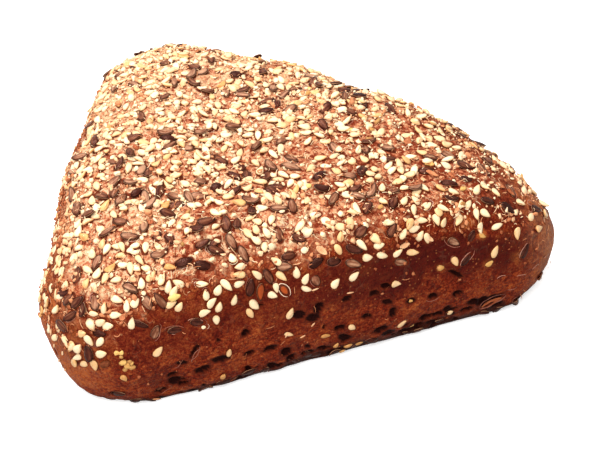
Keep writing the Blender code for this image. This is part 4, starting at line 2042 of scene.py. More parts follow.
    def strew(self, sowing: "Sowing", share: Share) -> None:
        """Scatter seeds over the crust.

        Each seed is tried at a few places and kept where it lies lowest, so that gaps fill
        before piles grow.  Those that pile up, stick out to the left or touch the base go.

        Args:
            sowing: How many seeds, and how they settle.
            share: Function of places and normals that gives the wanted density.
        """
        kinds, tries = self.mixed(sowing), sowing.tries
        places, normals = self.crust.sample(share, len(kinds) * tries, self.draws)
        for number, kind in enumerate(kinds):
            half = self.half_sizes(kind)
            best = None
            for index in range(number * tries, (number + 1) * tries):
                along = self.draws.normal(size=3)
                flank = float(ease(-normals[index][0], *self.flank_facing))
                deep = self.draws.uniform(*sowing.sunk) + self.flank_sink * flank
                found = self.rest(places[index], normals[index], along, half, deep)
                if best is None or found[2] < best[2]:
                    best = found
            centre, frame, under = best
            linseed = kind is Kind.LINSEED
            edgewise = linseed and -float(frame[2] @ self.crust.view.axes()[0]) > self.most_edgewise
            piled = under > sowing.highest * (1 - self.front_flatness * float(front_right(centre)))
            if piled or centre[2] - half[1] < self.foot_gap or edgewise:
                continue
            pale = self.back_pallor * float(back_left(centre)) * linseed
            self.keep(kind, centre, frame, half, min(self.tone(kind) + pale, self.palest))

    def tone(self, kind: Kind) -> float:
        """Return a seed's tone: most are alike, a few are darker or paler.

        Args:
            kind: Which seed.

        Returns:
            The tone, from 0 to 1.
        """
        if kind is Kind.SESAME:
            return float(np.clip(abs(self.draws.normal(*self.sesame_tones)), 0.0, 1.0))
        return float(np.clip(self.draws.normal(*self.linseed_tones), 0.04, self.palest))

    def build(self, kind: Kind, finish: Finish) -> Piece:
        """Make one piece of all seeds of a kind.

        Each seed is the template times its half sizes, made uneven by noise, bent a little
        along its length, its flat side dimpled or domed, turned and moved to its place.

        Args:
            kind: Which seeds.
            finish: What they are finished with.

        Returns:
            The piece.
        """
        chosen = [index for index, own in enumerate(self.kinds) if own is kind]
        shape = SEED_SHAPES[kind]
        template, side = shape.template()
        halves = np.array([self.halves[index] for index in chosen])
        frames = np.array([self.frames[index] for index in chosen])
        centres = np.array([self.centres[index] for index in chosen])
        count = len(chosen)
        bend = self.draws.normal(0.0, self.bend, (count, 1))
        dimple = self.draws.uniform(*self.dimples, (count, 1))
        local = np.repeat(template[None], count, axis=0)
        middle = np.exp(-((local[..., 0] ** 2 + local[..., 1] ** 2) / self.dimple_size))
        local[..., 2] = local[..., 2] * (1 - dimple * middle)
        own = template[None] * 0.9 + 3.1 * np.arange(count)[:, None, None]
        local = local * (1 + shape.unevenness * value_noise(own, 1.0, 89))[..., None] * halves[:, None, :]
        local[..., 2] += bend * local[..., 0] ** 2 / halves[:, 0:1]
        points = np.einsum("nvi,nij->nvj", local, frames) + centres[:, None]
        points[..., 2] = np.maximum(points[..., 2], self.floor_gap)
        piece = fill_copies(kind.value, points, shape.faces())
        paint(piece, "tone", np.repeat([self.tones[index] for index in chosen], len(template)))
        for name, values in (("side", side), ("along", template[:, 0]), ("across", template[:, 1])):
            paint(piece, name, np.tile(values, count))
        piece.data.materials.append(finish.material())
        return piece


@dataclass(frozen=True)
class Sowing:
    """One round of strewn seeds: how many of each kind, and how they settle.

    tries is how many places each seed is tried at, sunk the least and greatest share of its
    thickness that lies in the crust, and highest the mean height under it above which it goes.
    """

    sesame: int
    linseed: int
    tries: int
    sunk: Span
    highest: float


@dataclass
class Topping:
    """All seeds of the roll: those that stand out in the photo, then the strewn ones."""

    crust: Crust
    top: Sowing = Sowing(740, 184, 4, (0.15, 0.42), 0.9 * MM)
    wall: Sowing = Sowing(34, 36, 2, (0.35, 0.75), 0.2 * MM)
    foot: Sowing = Sowing(9, 100, 3, (0.68, 0.95), 0.2 * MM)
    crown_tilt: Span = (66.0, 52.0)
    near_placed: Span = (6.0, 3.5)
    bare_right: Span = (18.0, 40.0)
    bare_front_tilt: Span = (25.0, 42.0)
    right_taken: Span = (0.30, 0.62)
    front_taken: Span = (0.20, 0.60)
    back_bareness: float = 0.22
    clump_size: float = 7.0 * MM
    clump_shares: Span = (0.45, 1.1)
    clump_contrast: float = 1.4
    wall_tilt: Span = (58.0, 70.0)
    wall_low: float = 5.0 * MM
    wall_steepest: float = 120.0
    wall_seen: float = 0.02
    foot_height: Span = (7.0, 3.0)
    foot_low: float = 1.0 * MM
    foot_shown: Span = (-0.10, 0.30)
    foot_lack: float = 0.3
    foot_tones: Span = (0.10, 0.46)
    foot_sesame_tone: float = 0.75
    draws: np.random.Generator = field(default_factory=lambda: np.random.default_rng(19))
    bed: SeedBed = field(init=False)
    shown_count: int = 0

    def top_share(self, spots: Array, facing: Array) -> Array:
        """Return how many seeds a place carries: few where the placed ones already lie.

        Args:
            spots: Places on the crust, one a row.
            facing: Outward normals there.

        Returns:
            Weights, 0 where no seed falls.
        """
        placed = np.array(self.bed.centres[:self.shown_count])
        nearest = np.linalg.norm(spots[:, None] - placed[None], axis=2).min(axis=1)
        among = ease_mm(nearest, *self.near_placed)
        right = ease_mm(spots[:, 0], *self.bare_right)
        front = ease(tilt_of(facing), *self.bare_front_tilt) * (facing[:, 1] < -0.3)
        taken = np.maximum(right * (self.right_taken[0] + self.right_taken[1] * among),
                           front * (self.front_taken[0] + self.front_taken[1] * among))
        least, more = self.clump_shares
        patches = value_noise(spots, self.clump_size, 41) * self.clump_contrast
        clumps = least + more * np.clip(patches + 0.5, 0.0, 1.0)
        crown = ease(seeded_tilt(spots, facing), *self.crown_tilt)
        return crown * (1 - taken) * (1 - self.back_bareness * back_left(spots)) * clumps

    def wall_share(self, spots: Array, facing: Array) -> Array:
        """Return the share on the upper walls, most where the camera doesn't see them.

        Args:
            spots: Places on the crust, one a row.
            facing: Outward normals there.

        Returns:
            Weights, 0 where no seed falls.
        """
        tilt = tilt_of(facing)
        hidden = facing @ self.crust.view.axes()[2] < 0.05
        seen = self.wall_seen + (1 - self.wall_seen) * hidden
        return ease(tilt, *self.wall_tilt) * (tilt < self.wall_steepest) * seen * (spots[:, 2] > self.wall_low)

    def foot_share(self, spots: Array, facing: Array) -> Array:
        """Return the share along the foot, all the way round but less where the camera sees it.

        Args:
            spots: Places on the crust, one a row.
            facing: Outward normals there.

        Returns:
            Weights, 0 where no seed falls.
        """
        low = ease_mm(spots[:, 2], *self.foot_height)
        shown = ease(facing @ self.crust.view.axes()[2], *self.foot_shown)
        return low * (1 - self.foot_lack * shown) * (spots[:, 2] > self.foot_low) * (facing[:, 2] > -0.95)

    def build(self) -> list[Piece]:
        """Lay every seed, paint shade on the crust round them and make the two pieces.

        Returns:
            The sesame and the linseed.
        """
        bed = self.bed = SeedBed(self.crust, self.draws)
        for group in PLACED_SEEDS:
            bed.lay_group(group)
        self.shown_count = len(bed.kinds)
        bed.strew(self.top, self.top_share)
        bed.strew(self.wall, self.wall_share)
        first_at_foot = len(bed.kinds)
        bed.strew(self.foot, self.foot_share)
        for index in range(first_at_foot, len(bed.kinds)):
            linseed = bed.kinds[index] is Kind.LINSEED
            bed.tones[index] = self.foot_tones[index % 3 == 0] if linseed else self.foot_sesame_tone
        # Painted shade on the crust round the seeds.
        self.crust.shade_round_seeds(np.array(bed.centres), np.array(bed.frames), np.array(bed.halves))
        return [bed.build(Kind.SESAME, SesameFinish()), bed.build(Kind.LINSEED, LinseedFinish())]


# Seeds that stand out one by one in the photo: the corners, the shoulder and the front wall.
PLACED_SEEDS = (
    SpotGroup(Kind.LINSEED, 0.12, (
        (88.5, 352, 100), (249.5, 288, 80), (353, 250, -20), (449.5, 184.6, -15), (451.2, 199.5, 3),
        (488, 202.0, -8), (535.6, 209.3, -15), (216.8, 186, 55), (321.7, 191, 15),
        (318.8, 175.7, 40), (184, 263, 20), (203.5, 266.4, -10), (267, 111.7, 0), (238, 75.5, 0),
        (343.5, 91, 0), (361, 92.4, 0), (334.5, 261.8, 10))),
    SpotGroup(Kind.LINSEED, 0.40, (
        (225.5, 225, 98), (236, 224.5, 82), (269, 277, -60), (288.4, 257, 10), (360.7, 231, 45),
        (297.6, 239, -25), (214, 243.5, 42), (202.4, 243.5, 20), (205.7, 222, 15), (277, 187, 0),
        (394.4, 201.8, 70), (392.6, 230, 60), (169.6, 240, -60), (176, 206.7, 15), (169, 216, -10),
        (157.6, 234.3, 90), (131.2, 289.4, -40), (84.4, 310, 60), (72.4, 315.6, 35), (77.5, 302, 40),
        (69.5, 299.5, 50), (62.6, 326, -45))),
    SpotGroup(Kind.LINSEED, 0.72, (
        (353.5, 263, -12), (452.3, 241.4, -25), (279, 210, 0), (372, 193.5, 55), (357.9, 197.6, -30),
        (232, 243.5, -55), (242.5, 255, -60), (96, 302, 100), (131.5, 288.6, -25), (148, 302.4, -60),
        (175, 197.5, -5), (130.6, 237.7, 0), (107, 232.6, 25), (121, 200, 50), (130, 183.8, 0),
        (115, 182.6, 40), (198.3, 196.4, 0), (159.9, 256, 30), (284, 266.4, 0))),
    SpotGroup(Kind.LINSEED, 0.60, (
        (155, 331.7, 70), (399.5, 261.5, -5), (316.5, 281.4, -60), (483.3, 170.4, -48), (511, 190.5, -60)),
        0.92, 0.45),
    SpotGroup(Kind.LINSEED, 0.10, ((466.8, 179.4, -15), (540.5, 276.5, 35)), 0.92, 0.35),
    SpotGroup(Kind.LINSEED, 0.06, ((508, 208.8, -35),), 1.12, 0.30),
    SpotGroup(Kind.LINSEED, 1.00, ((259, 291.6, 268),), 0.95),
    SpotGroup(Kind.LINSEED, 1.00, ((285, 290.5, 310),), 0.70, 0.5),
    SpotGroup(Kind.LINSEED, 0.10, (
        (138.5, 325, -15), (99.4, 334, -10), (196.4, 322.5, -10), (175, 329, 0), (470.7, 236.8, 70),
        (466, 259.5, 52), (524.7, 252.3, 65)), 0.9, 0.65),
    SpotGroup(Kind.LINSEED, 0.02, (
        (373.6, 339.9, 10), (403.5, 331.8, 15), (249, 370.7, 10), (119, 393.7, 5), (136, 400.0, 10),
        (223.7, 381, 10), (334, 351, 15)), 0.9, 0.4),
    SpotGroup(Kind.SESAME, 0.15, (
        (77, 348, 45), (77.5, 357, 200), (101, 354, 15), (99, 342.6, 230), (89, 341, 300), (108, 327, 5),
        (117, 315, 5), (100.5, 321, 25), (91, 324, 290), (95, 314.5, 0), (105, 309, 60), (58.6, 309, 45),
        (118, 301, -15), (127.5, 306, 100), (135, 302, 45), (131, 323, 80))),
    SpotGroup(Kind.SESAME, 0.15, (
        (201.8, 284, 0), (218, 290, 60), (205, 294, 90), (226, 284, -45), (238.5, 283.4, 20),
        (212, 301.8, 45), (218, 307.5, 75), (205, 313, 20), (216, 320, 275), (235, 300.7, 80),
        (253.5, 305, -40), (272, 295.5, -15), (276.4, 287, 280), (306, 288.6, -15), (305.5, 278, 65),
        (297, 273, 95), (335, 282, 50), (353, 275.6, 50), (361, 245, -45), (378.8, 245.7, 15),
        (366.7, 258.4, 5), (383.4, 256, -10), (397, 253.3, 45), (414.4, 228.8, 20), (479.3, 227.6, 275),
        (496.5, 226.5, 25))),
    SpotGroup(Kind.SESAME, 0.25, (
        (404.7, 188, -5), (423.6, 189, -45), (382.3, 188.6, 80), (404, 201.8, 60), (383.4, 203, -40),
        (452.3, 192, -25), (476.4, 191, 60), (484, 186.3, -50), (495.4, 193.2, -50), (520, 203.5, -35),
        (467.8, 204.7, 55), (427.6, 205.8, 45), (413.9, 209.8, 280), (442.6, 208, -30), (475.3, 215, 280),
        (485, 212.7, -35), (435, 219.6, -70), (442.6, 223.6, 60), (422.5, 220.8, -5), (388.6, 222.5, 5),
        (531.5, 216.7, 50), (419.6, 235, 60), (402.4, 233.4, 60), (426, 239, -70))),
    SpotGroup(Kind.SESAME, 0.55, (
        (83.5, 363.5, 205), (94, 365, 280), (82, 333, 10), (75, 362, 80), (251, 314.4, -60),
        (281, 276, -40), (338, 249.8, -60), (412.7, 253, 0), (455, 261.7, -62), (493.7, 252.2, 65),
        (538, 228, 20), (517.2, 234, -85))),
    SpotGroup(Kind.SESAME, 0.45, (
        (230, 352.4, 80), (287.4, 334, -5), (352, 327.7, -30), (395.4, 284.3, 0), (401.7, 323.2, 45),
        (449.5, 312, 45), (290.8, 312.7, 70)), 0.92, 0.45),
    SpotGroup(Kind.SESAME, 0.88, (
        (124, 377.6, 300), (222.6, 376.4, 60), (325, 335.7, 5), (335.4, 345.3, 55), (349, 346.2, 20),
        (359.3, 342.7, 10)), 0.85, 0.45),
)


def hollows(length: float, width: float, places: tuple[tuple[float, float, float], ...]) -> list[Hollow]:
    """Return pits of one size at columns, rows and turns of the picture."""
    return [Hollow(column, row, turn, length, width) for column, row, turn in places]


# Pits that stand out in the photo's front wall, from the largest to the smallest.
HOLLOWS = (
    hollows(4.6 * MM, 2.5 * MM, ((203.5, 369.6, 30), (221, 359, 8), (381.7, 329.5, 20)))
    + hollows(3.8 * MM, 2.6 * MM, ((299.4, 314.4, 0), (319, 308, 70), (312, 318, 0)))
    + hollows(7.2 * MM, 2.6 * MM, ((490.5, 301, 25),))
    + hollows(4.6 * MM, 1.3 * MM, ((195, 352.5, 60), (456, 273.5, -22)))
    + hollows(3.6 * MM, 2.1 * MM, ((425.3, 316.9, 10), (466.6, 310, 20), (269.6, 349, 25), (393, 312, 75)))
    + hollows(2.9 * MM, 1.9 * MM, (
        (181, 362.7, 0), (171.7, 374, 20), (183, 383, 10), (347, 299, 20), (339.4, 328, 15),
        (249, 353.5, 15), (309.8, 352.4, 5), (322, 347.8, 5), (374.2, 293.4, 10), (386.3, 285.5, 0),
        (386.3, 302, 0), (410.4, 300.8, 10), (433, 297, 10), (367.3, 316.9, 10), (437.9, 313.5, 10),
        (115, 393, 5), (172.5, 303.5, 0)))
)


# ---- Bran, crumbs and grit ----


@dataclass(frozen=True)
class ShownArc:
    """An edge of torn skin that stands out in the photo: part of an ellipse on the crust.

    column and row are the pixel where the ellipse's middle shows, and turn its long axis in
    the picture, in degrees anticlockwise from the right.  The part goes from the angle start
    to the angle end, in degrees from the long axis.  Lengths are in millimetres.
    """

    column: float
    row: float
    turn: float
    length: float
    width: float
    start: float
    end: float
    tone: float
    thick: float = 0.20


@dataclass
class Films:
    """Thin skin of dough with a raised edge round sunken seeds, in pits and on the nose."""

    crust: Crust
    bed: SeedBed
    steps: int = 16
    chances: tuple[tuple[Kind, float], ...] = ((Kind.LINSEED, 0.40), (Kind.SESAME, 0.12))
    thick: tuple[float, float] = (0.10 * MM, 0.19 * MM)
    span: tuple[float, float] = (60.0, 190.0)
    deepest: float = 0.9 * MM
    flatness: float = 0.8
    unevenness: float = 0.10
    seed_tones: Span = (0.30, 0.90)
    wall_rise: Span = (0.80, 0.40)
    wall_darkness: float = 0.55
    draws: np.random.Generator = field(default_factory=lambda: np.random.default_rng(31))
    paths: list[Array] = field(default_factory=list)
    normals: list[Array] = field(default_factory=list)
    thicks: list[float] = field(default_factory=list)
    tones: list[float] = field(default_factory=list)

    def add(self, origin: Array, frame: Array, half: Array, part: tuple[float, float],
            thick: float, tone: float) -> None:
        """Lay one edge on the crust.

        The edge follows the ellipse's angle from the part's start to its end, in degrees, with
        its radius made uneven by noise, and lies half its thickness above the crust.

        Args:
            origin: The ellipse's middle.
            frame: Its axes, one row each.
            half: Its half axes.
            part: The angles where the edge starts and ends.
            thick: How wide the edge is.
            tone: How pale it is.
        """
        angle = np.radians(np.linspace(*part, self.steps + 1))
        local = np.stack([np.cos(angle) * half[0], np.sin(angle) * half[1]], axis=1)
        local = local * (1 + self.unevenness * value_noise(local[:, [0, 1, 1]] + origin, 0.8 * MM, 59))[:, None]
        height = self.crust.drape(local, origin, frame) + 0.4 * thick
        self.paths.append(origin + np.concatenate([local, height[:, None]], axis=1) @ frame)
        self.normals.append(frame[2])
        self.thicks.append(thick)
        self.tones.append(tone)

    def round_seeds(self) -> None:
        """Lay edges round some of the seeds that lie on the crust."""
        chances, bed = dict(self.chances), self.bed
        for kind, centre, frame, half in zip(bed.kinds, bed.centres, bed.frames, bed.halves):
            taken = self.draws.random() < chances[kind]
            start, span = self.draws.uniform(0.0, 360.0), self.draws.uniform(*self.span)
            thick, tone = self.draws.uniform(*self.thick), self.draws.uniform(*self.seed_tones)
            tone *= 1 - self.wall_darkness * float(ease(frame[2][2], *self.wall_rise))
            if not taken or abs(float(self.crust.drape(np.zeros((1, 2)), centre, frame)[0])) > self.deepest:
                continue
            self.add(centre, frame, half[:2] * 1.04 + thick / 2, (start, start + span), thick, tone)

    def build(self) -> Piece:
        """Make the piece of all edges.

        Returns:
            The object of all skins.
        """
        for arc in SHOWN_ARCS:
            place, normal, along = self.crust.shown_at(arc.column, arc.row, arc.turn)
            frame = turned_frames(normal[None], along[None])[0]
            half = np.array([arc.length, arc.width]) * MM / 2
            self.add(place, frame, half, (arc.start, arc.end), arc.thick * MM, arc.tone)
        self.round_seeds()
        piece = ribbons("films", np.array(self.paths), np.array(self.normals), np.array(self.thicks), self.flatness)
        paint(piece, "tone", np.repeat(self.tones, (self.steps + 1) * 4))
        piece.data.materials.append(FilmFinish().material())
        return piece


# Edges of skin that stand out in the photo: shells, husks and sunken seeds, then the nose.
SHOWN_ARCS = (
    ShownArc(285, 290.5, -50, 3.9, 2.4, 0, 345, 1.00, 0.22),
    ShownArc(196, 322, 0, 3.7, 2.0, 15, 165, 0.62, 0.22), ShownArc(467, 259, 58, 4.5, 2.2, 10, 170, 0.58, 0.22),
    ShownArc(470, 256, 58, 3.8, 2.0, 190, 340, 0.50, 0.18),
    ShownArc(525, 252, 62, 4.4, 2.2, 10, 175, 0.55, 0.22),
    ShownArc(197, 356, 60, 4.4, 1.7, 15, 165, 0.36, 0.24),
    ShownArc(194, 351, 60, 4.4, 1.7, 195, 345, 0.32, 0.22),
    ShownArc(178, 363, 50, 3.4, 1.6, 190, 345, 0.34, 0.18),
    ShownArc(155, 331, 70, 4.7, 2.4, 200, 340, 0.45, 0.18),
    ShownArc(452.5, 242, -25, 5.0, 2.6, 185, 350, 0.45, 0.22),
    ShownArc(174, 330, 0, 2.2, 1.9, 0, 300, 0.62, 0.20), ShownArc(206, 327, 0, 1.7, 1.4, -70, 70, 0.75, 0.16),
    ShownArc(96, 302, 100, 3.8, 2.6, 0, 340, 0.42, 0.24), ShownArc(282, 222, 25, 3.4, 2.2, 0, 340, 0.48, 0.22),
    ShownArc(270, 205, 20, 3.4, 2.2, 20, 330, 0.45, 0.22),
    ShownArc(433, 297, 10, 3.4, 2.0, 190, 350, 0.45, 0.18),
    ShownArc(490.5, 301, 25, 7.4, 2.8, 185, 355, 0.26, 0.34),
    ShownArc(490.5, 301, 25, 7.4, 2.8, 10, 170, 0.08, 0.36),
    ShownArc(528, 195, -30, 2.7, 1.7, 0, 335, 0.62, 0.22),
    ShownArc(531, 203, -20, 2.5, 1.5, 30, 350, 0.58, 0.22),
    ShownArc(502, 277, 12, 2.3, 1.2, 10, 190, 0.68, 0.20), ShownArc(521, 276, 5, 2.8, 1.2, 15, 175, 0.62, 0.17),
    ShownArc(535, 268, 30, 2.6, 1.3, 0, 170, 0.62, 0.17), ShownArc(545, 258, 45, 2.6, 1.3, 0, 160, 0.62, 0.17),
    ShownArc(513, 288, 12, 2.4, 1.1, 190, 350, 0.55, 0.15),
)


@dataclass
class Fibres:
    """Thin husk splinters that curl over the crust."""

    crust: Crust
    count: int = 2300
    steps: int = 8
    length: tuple[float, float] = (0.9 * MM, 3.2 * MM)
    width: tuple[float, float] = (0.09 * MM, 0.24 * MM)
    flatness: float = 0.45
    crown_tilt: Span = (66.0, 45.0)
    wall_share: float = 0.035
    steepest: float = 120.0
    low: float = 3.0 * MM
    nose: Span = (44.0, 58.0)
    nose_share: float = 0.40
    curl: float = 1.5
    rise: Span = (0.02, 0.22)
    lift: Span = (0.05, 0.75)
    slope: float = 0.18
    tones: Span = (3.2, 1.4)
    wall_rise: Span = (0.70, 0.30)
    wall_darkness: float = 0.45
    draws: np.random.Generator = field(default_factory=lambda: np.random.default_rng(29))

    def share(self, spots: Array, facing: Array) -> Array:
        """Return how many fibres a place carries: most on the crown, a few on the walls.

        Args:
            spots: Places on the crust, one a row.
            facing: Outward normals there.

        Returns:
            Weights, 0 where no fibre lies.
        """
        crown = self.wall_share + (1 - self.wall_share) * ease(seeded_tilt(spots, facing), *self.crown_tilt)
        crown = np.maximum(crown, self.nose_share * ease_mm(spots[:, 0], *self.nose))
        return crown * (tilt_of(facing) < self.steepest) * (spots[:, 2] > self.low)

    def paths(self) -> tuple[Array, Array]:
        """Return the fibres' middle lines and the normals they lie on.

        Each line is an arc in the tangent plane, whose heading turns evenly along it, and it
        bows up off the crust by a small part of its length.

        Returns:
            Points of shape (count, steps + 1, 3) and normals of shape (count, 3).
        """
        spots, normals = self.crust.sample(self.share, self.count, self.draws)
        frames = turned_frames(normals, self.draws.normal(size=(self.count, 3)))
        length = self.draws.uniform(*self.length, (self.count, 1)) * self.draws.uniform(0.5, 1.0, (self.count, 1))
        curl = self.draws.normal(0.0, self.curl, (self.count, 1))
        run = np.linspace(-0.5, 0.5, self.steps + 1)[None]
        heading = curl * run
        x = np.cumsum(np.cos(heading), axis=1) * length / self.steps
        y = np.cumsum(np.sin(heading), axis=1) * length / self.steps
        rise = self.draws.uniform(*self.rise, (self.count, 1)) * length
        z = rise * (1 - (2 * run) ** 2) + self.draws.uniform(*self.lift, (self.count, 1)) * MM
        tip = self.draws.normal(0.0, self.slope, (self.count, 1)) * run * length
        local = np.stack([x - x.mean(axis=1, keepdims=True), y - y.mean(axis=1, keepdims=True), z + tip], axis=-1)
        return np.einsum("nvi,nij->nvj", local, frames) + spots[:, None], normals

    def build(self) -> Piece:
        """Make the piece: a flat four-sided section carried along every path.

        Returns:
            The object of all fibres.
        """
        paths, normals = self.paths()
        widths = self.draws.uniform(*self.width, self.count)
        piece = ribbons("husk_splinters", paths, normals, widths, self.flatness)
        steep = ease(normals[:, 2], *self.wall_rise)
        tones = self.draws.beta(*self.tones, self.count) * (1 - self.wall_darkness * steep)
        paint(piece, "tone", np.repeat(tones, (self.steps + 1) * 4))
        piece.data.materials.append(BranFinish().material())
        return piece


def ribbons(name: str, paths: Array, normals: Array, widths: Array, flatness: float) -> Piece:
    """Return flat ribbons with four-sided sections that narrow to both ends.

    The section's corners lie at plus and minus the width across the path and plus and minus
    flatness times the width along the normal; the width follows the square root of one minus
    the fourth power of the place along the path.

    Args:
        name: Name of the piece.
        paths: Middle lines, of shape (count, points, 3).
        normals: What each ribbon lies on, of shape (count, 3).
        widths: Half the width of each ribbon.
        flatness: Thickness over width.

    Returns:
        The piece.
    """
    count, points, _ = paths.shape
    ahead = unit(np.gradient(paths, axis=1))
    up = np.repeat(normals[:, None], points, axis=1)
    aside = unit(np.cross(up, ahead))
    above = np.cross(ahead, aside)
    run = np.linspace(-1.0, 1.0, points)
    narrow = np.sqrt(np.maximum(1 - run ** 4, 0.03))[None, :, None] * widths[:, None, None] / 2
    section = [aside * narrow, above * narrow * flatness, -aside * narrow, -above * narrow * flatness]
    rings = paths[:, :, None] + np.stack(section, axis=2)
    number = np.arange(points * 4).reshape(points, 4)
    after = np.roll(number, -1, axis=1)
    sides = np.stack([number[:-1], number[1:], after[1:], after[:-1]], axis=-1).reshape(-1, 4)
    caps = np.stack([number[0], number[-1][::-1]])
    one = np.concatenate([sides, caps])
    return fill_copies(name, rings.reshape(count, -1, 3), (one.ravel(), np.full(len(one), 4)))


@dataclass(frozen=True)
class ShownBit:
    """A bit that stands out in the photo, placed by the pixel where its middle shows.

    turn is its long axis in the picture, in degrees anticlockwise from the right.  cup is how
    far its rim stands up over half its length, and lift how far its middle lies off the crust.
    Lengths are in millimetres.
    """

    column: float
    row: float
    turn: float
    length: float
    width: float
    thickness: float
    tone: float
    cup: float = 0.0
    lift: float = 0.25


@dataclass
class LumpLot:
    """Where a lot of lumps lie and how large and pale each is: one row for each lump."""

    spots: Array
    frames: Array
    halves: Array
    cups: Array
    tones: Array

    def joined(self, other: "LumpLot") -> "LumpLot":
        """Return both lots as one."""
        pairs = ((getattr(self, name.name), getattr(other, name.name)) for name in fields(self))
        return LumpLot(*(np.concatenate(pair) for pair in pairs))


@dataclass
class Lumps:
    """Meal, crumbs, fragments, bran flakes or grit: small uneven lumps that lie on the crust.

    size is the range of lengths in millimetres, and thinness that of thickness over length.
    """

    crust: Crust
    name: str
    finish: Finish
    shape: SeedShape
    salt: int
    count: int
    size: Span
    thinness: Span
    raggedness: float
    lowest_share: float
    tones: Span = (2.8, 1.2)
    mealiness: float = 0.0
    curl: float = 0.0
    bareness: float = 0.35
    shown: tuple[ShownBit, ...] = ()
    crown_tilt: Span = (68.0, 48.0)
    patch_size: float = 11.0 * MM
    patch_shares: Span = (0.45, 1.1)
    patch_shift: float = 0.35
    mealiest: float = 1.6
    steepest: float = 115.0
    low: float = 3.0 * MM
    wall_rise: Span = (0.80, 0.25)
    wall_shrink: float = 0.4
    wall_tilt: Span = (35.0, 60.0)
    wall_darkness: float = 0.6
    lean: float = 0.35
    smallest: float = 0.6
    widths: Span = (0.5, 0.95)
    lift: float = 0.35

    def share(self, spots: Array, facing: Array) -> Array:
        """Return how many lumps a place carries: the crown, with a small share on the walls.

        Args:
            spots: Places on the crust, one a row.
            facing: Outward normals there.

        Returns:
            Weights, 0 where no lump lies.
        """
        crown = ease(seeded_tilt(spots, facing), *self.crown_tilt)
        crown = self.lowest_share + (1 - self.lowest_share) * crown
        least, more = self.patch_shares
        patchy = least + more * np.clip(value_noise(spots, self.patch_size, 53) + self.patch_shift, 0.0, 1.0)
        mealy = 1 - self.mealiness + self.mealiness * self.mealiest * back_left(spots)
        bare = 1 - self.bareness * front_right(spots)
        return crown * patchy * mealy * bare * (tilt_of(facing) < self.steepest) * (spots[:, 2] > self.low)

    def strewn(self, draws: np.random.Generator) -> LumpLot:
        """Return the lumps that are scattered at random, darker on the walls.

        Args:
            draws: Source of random numbers.

        Returns:
            Their places, frames, sizes, cups and tones.
        """
        spots, normals = self.crust.sample(self.share, self.count, draws)
        frames = turned_frames(unit(normals + draws.normal(0.0, self.lean, (self.count, 3))),
                               draws.normal(size=(self.count, 3)))
        steep = ease(normals[:, 2], *self.wall_rise)
        least, most = self.size
        size = draws.uniform(least * MM, most * MM, self.count) * draws.uniform(self.smallest, 1.0, self.count)
        size = size * (1 - self.wall_shrink * steep)
        halves = np.stack([size, size * draws.uniform(*self.widths, self.count),
                           size * draws.uniform(*self.thinness, self.count)], axis=1) / 2
        lift = halves[:, 2] * 0.6 + draws.uniform(0.0, self.lift, self.count) * (1 - steep) * MM
        darker = 1 - self.wall_darkness * ease(tilt_of(normals), *self.wall_tilt)
        tones = draws.beta(*self.tones, self.count) * darker
        cups = draws.normal(0.0, 1.0, self.count) * self.curl
        return LumpLot(spots + normals * lift[:, None], frames, halves, cups, tones)

    def placed(self) -> LumpLot:
        """Return the lumps that stand out in the photo.

        Returns:
            Their places, frames, sizes, cups and tones.
        """
        found = [self.crust.shown_at(bit.column, bit.row, bit.turn) for bit in self.shown]
        spots = np.array([place + normal * (bit.lift * MM) for (place, normal, _), bit in zip(found, self.shown)])
        frames = turned_frames(np.array([normal for _, normal, _ in found]), np.array([axis for _, _, axis in found]))
        halves = np.array([[bit.length, bit.width, bit.thickness] for bit in self.shown]) * MM / 2
        return LumpLot(spots, frames, halves, np.array([bit.cup for bit in self.shown]),
                       np.array([bit.tone for bit in self.shown]))

    def build(self) -> Piece:
        """Make the piece.

        Each lump is the template with its radius made uneven by noise, times its half sizes,
        with the rim raised by the cup times the square of the distance from its middle.

        Returns:
            The piece of all lumps.
        """
        lot = self.strewn(np.random.default_rng(self.salt))
        if self.shown:
            lot = lot.joined(self.placed())
        count = len(lot.tones)
        template, _ = self.shape.template()
        unit_lump = np.repeat(template[None], count, axis=0)
        own = unit_lump * 1.7 + np.arange(count)[:, None, None] * 5.3
        local = unit_lump * (1 + self.raggedness * value_noise(own, 1.0, self.salt))[..., None]
        local = local * lot.halves[:, None]
        local[..., 2] += (lot.cups * lot.halves[:, 0])[:, None] * np.sum(unit_lump[..., :2] ** 2, axis=-1)
        points = np.einsum("nvi,nij->nvj", local, lot.frames) + lot.spots[:, None]
        piece = fill_copies(self.name, points, self.shape.faces())
        paint(piece, "tone", np.repeat(lot.tones, len(template)))
        piece.data.materials.append(self.finish.material())
        return piece


def lump_shape(around: int, rings: int, taper: float = 0.0, flatness: float = 1.0) -> SeedShape:
    """Return the template of a lump, of size one: round, or flat with a tip."""
    return SeedShape(1.0, 1.0, 1.0, taper, flatness, 0.0, around=around, rings=rings)


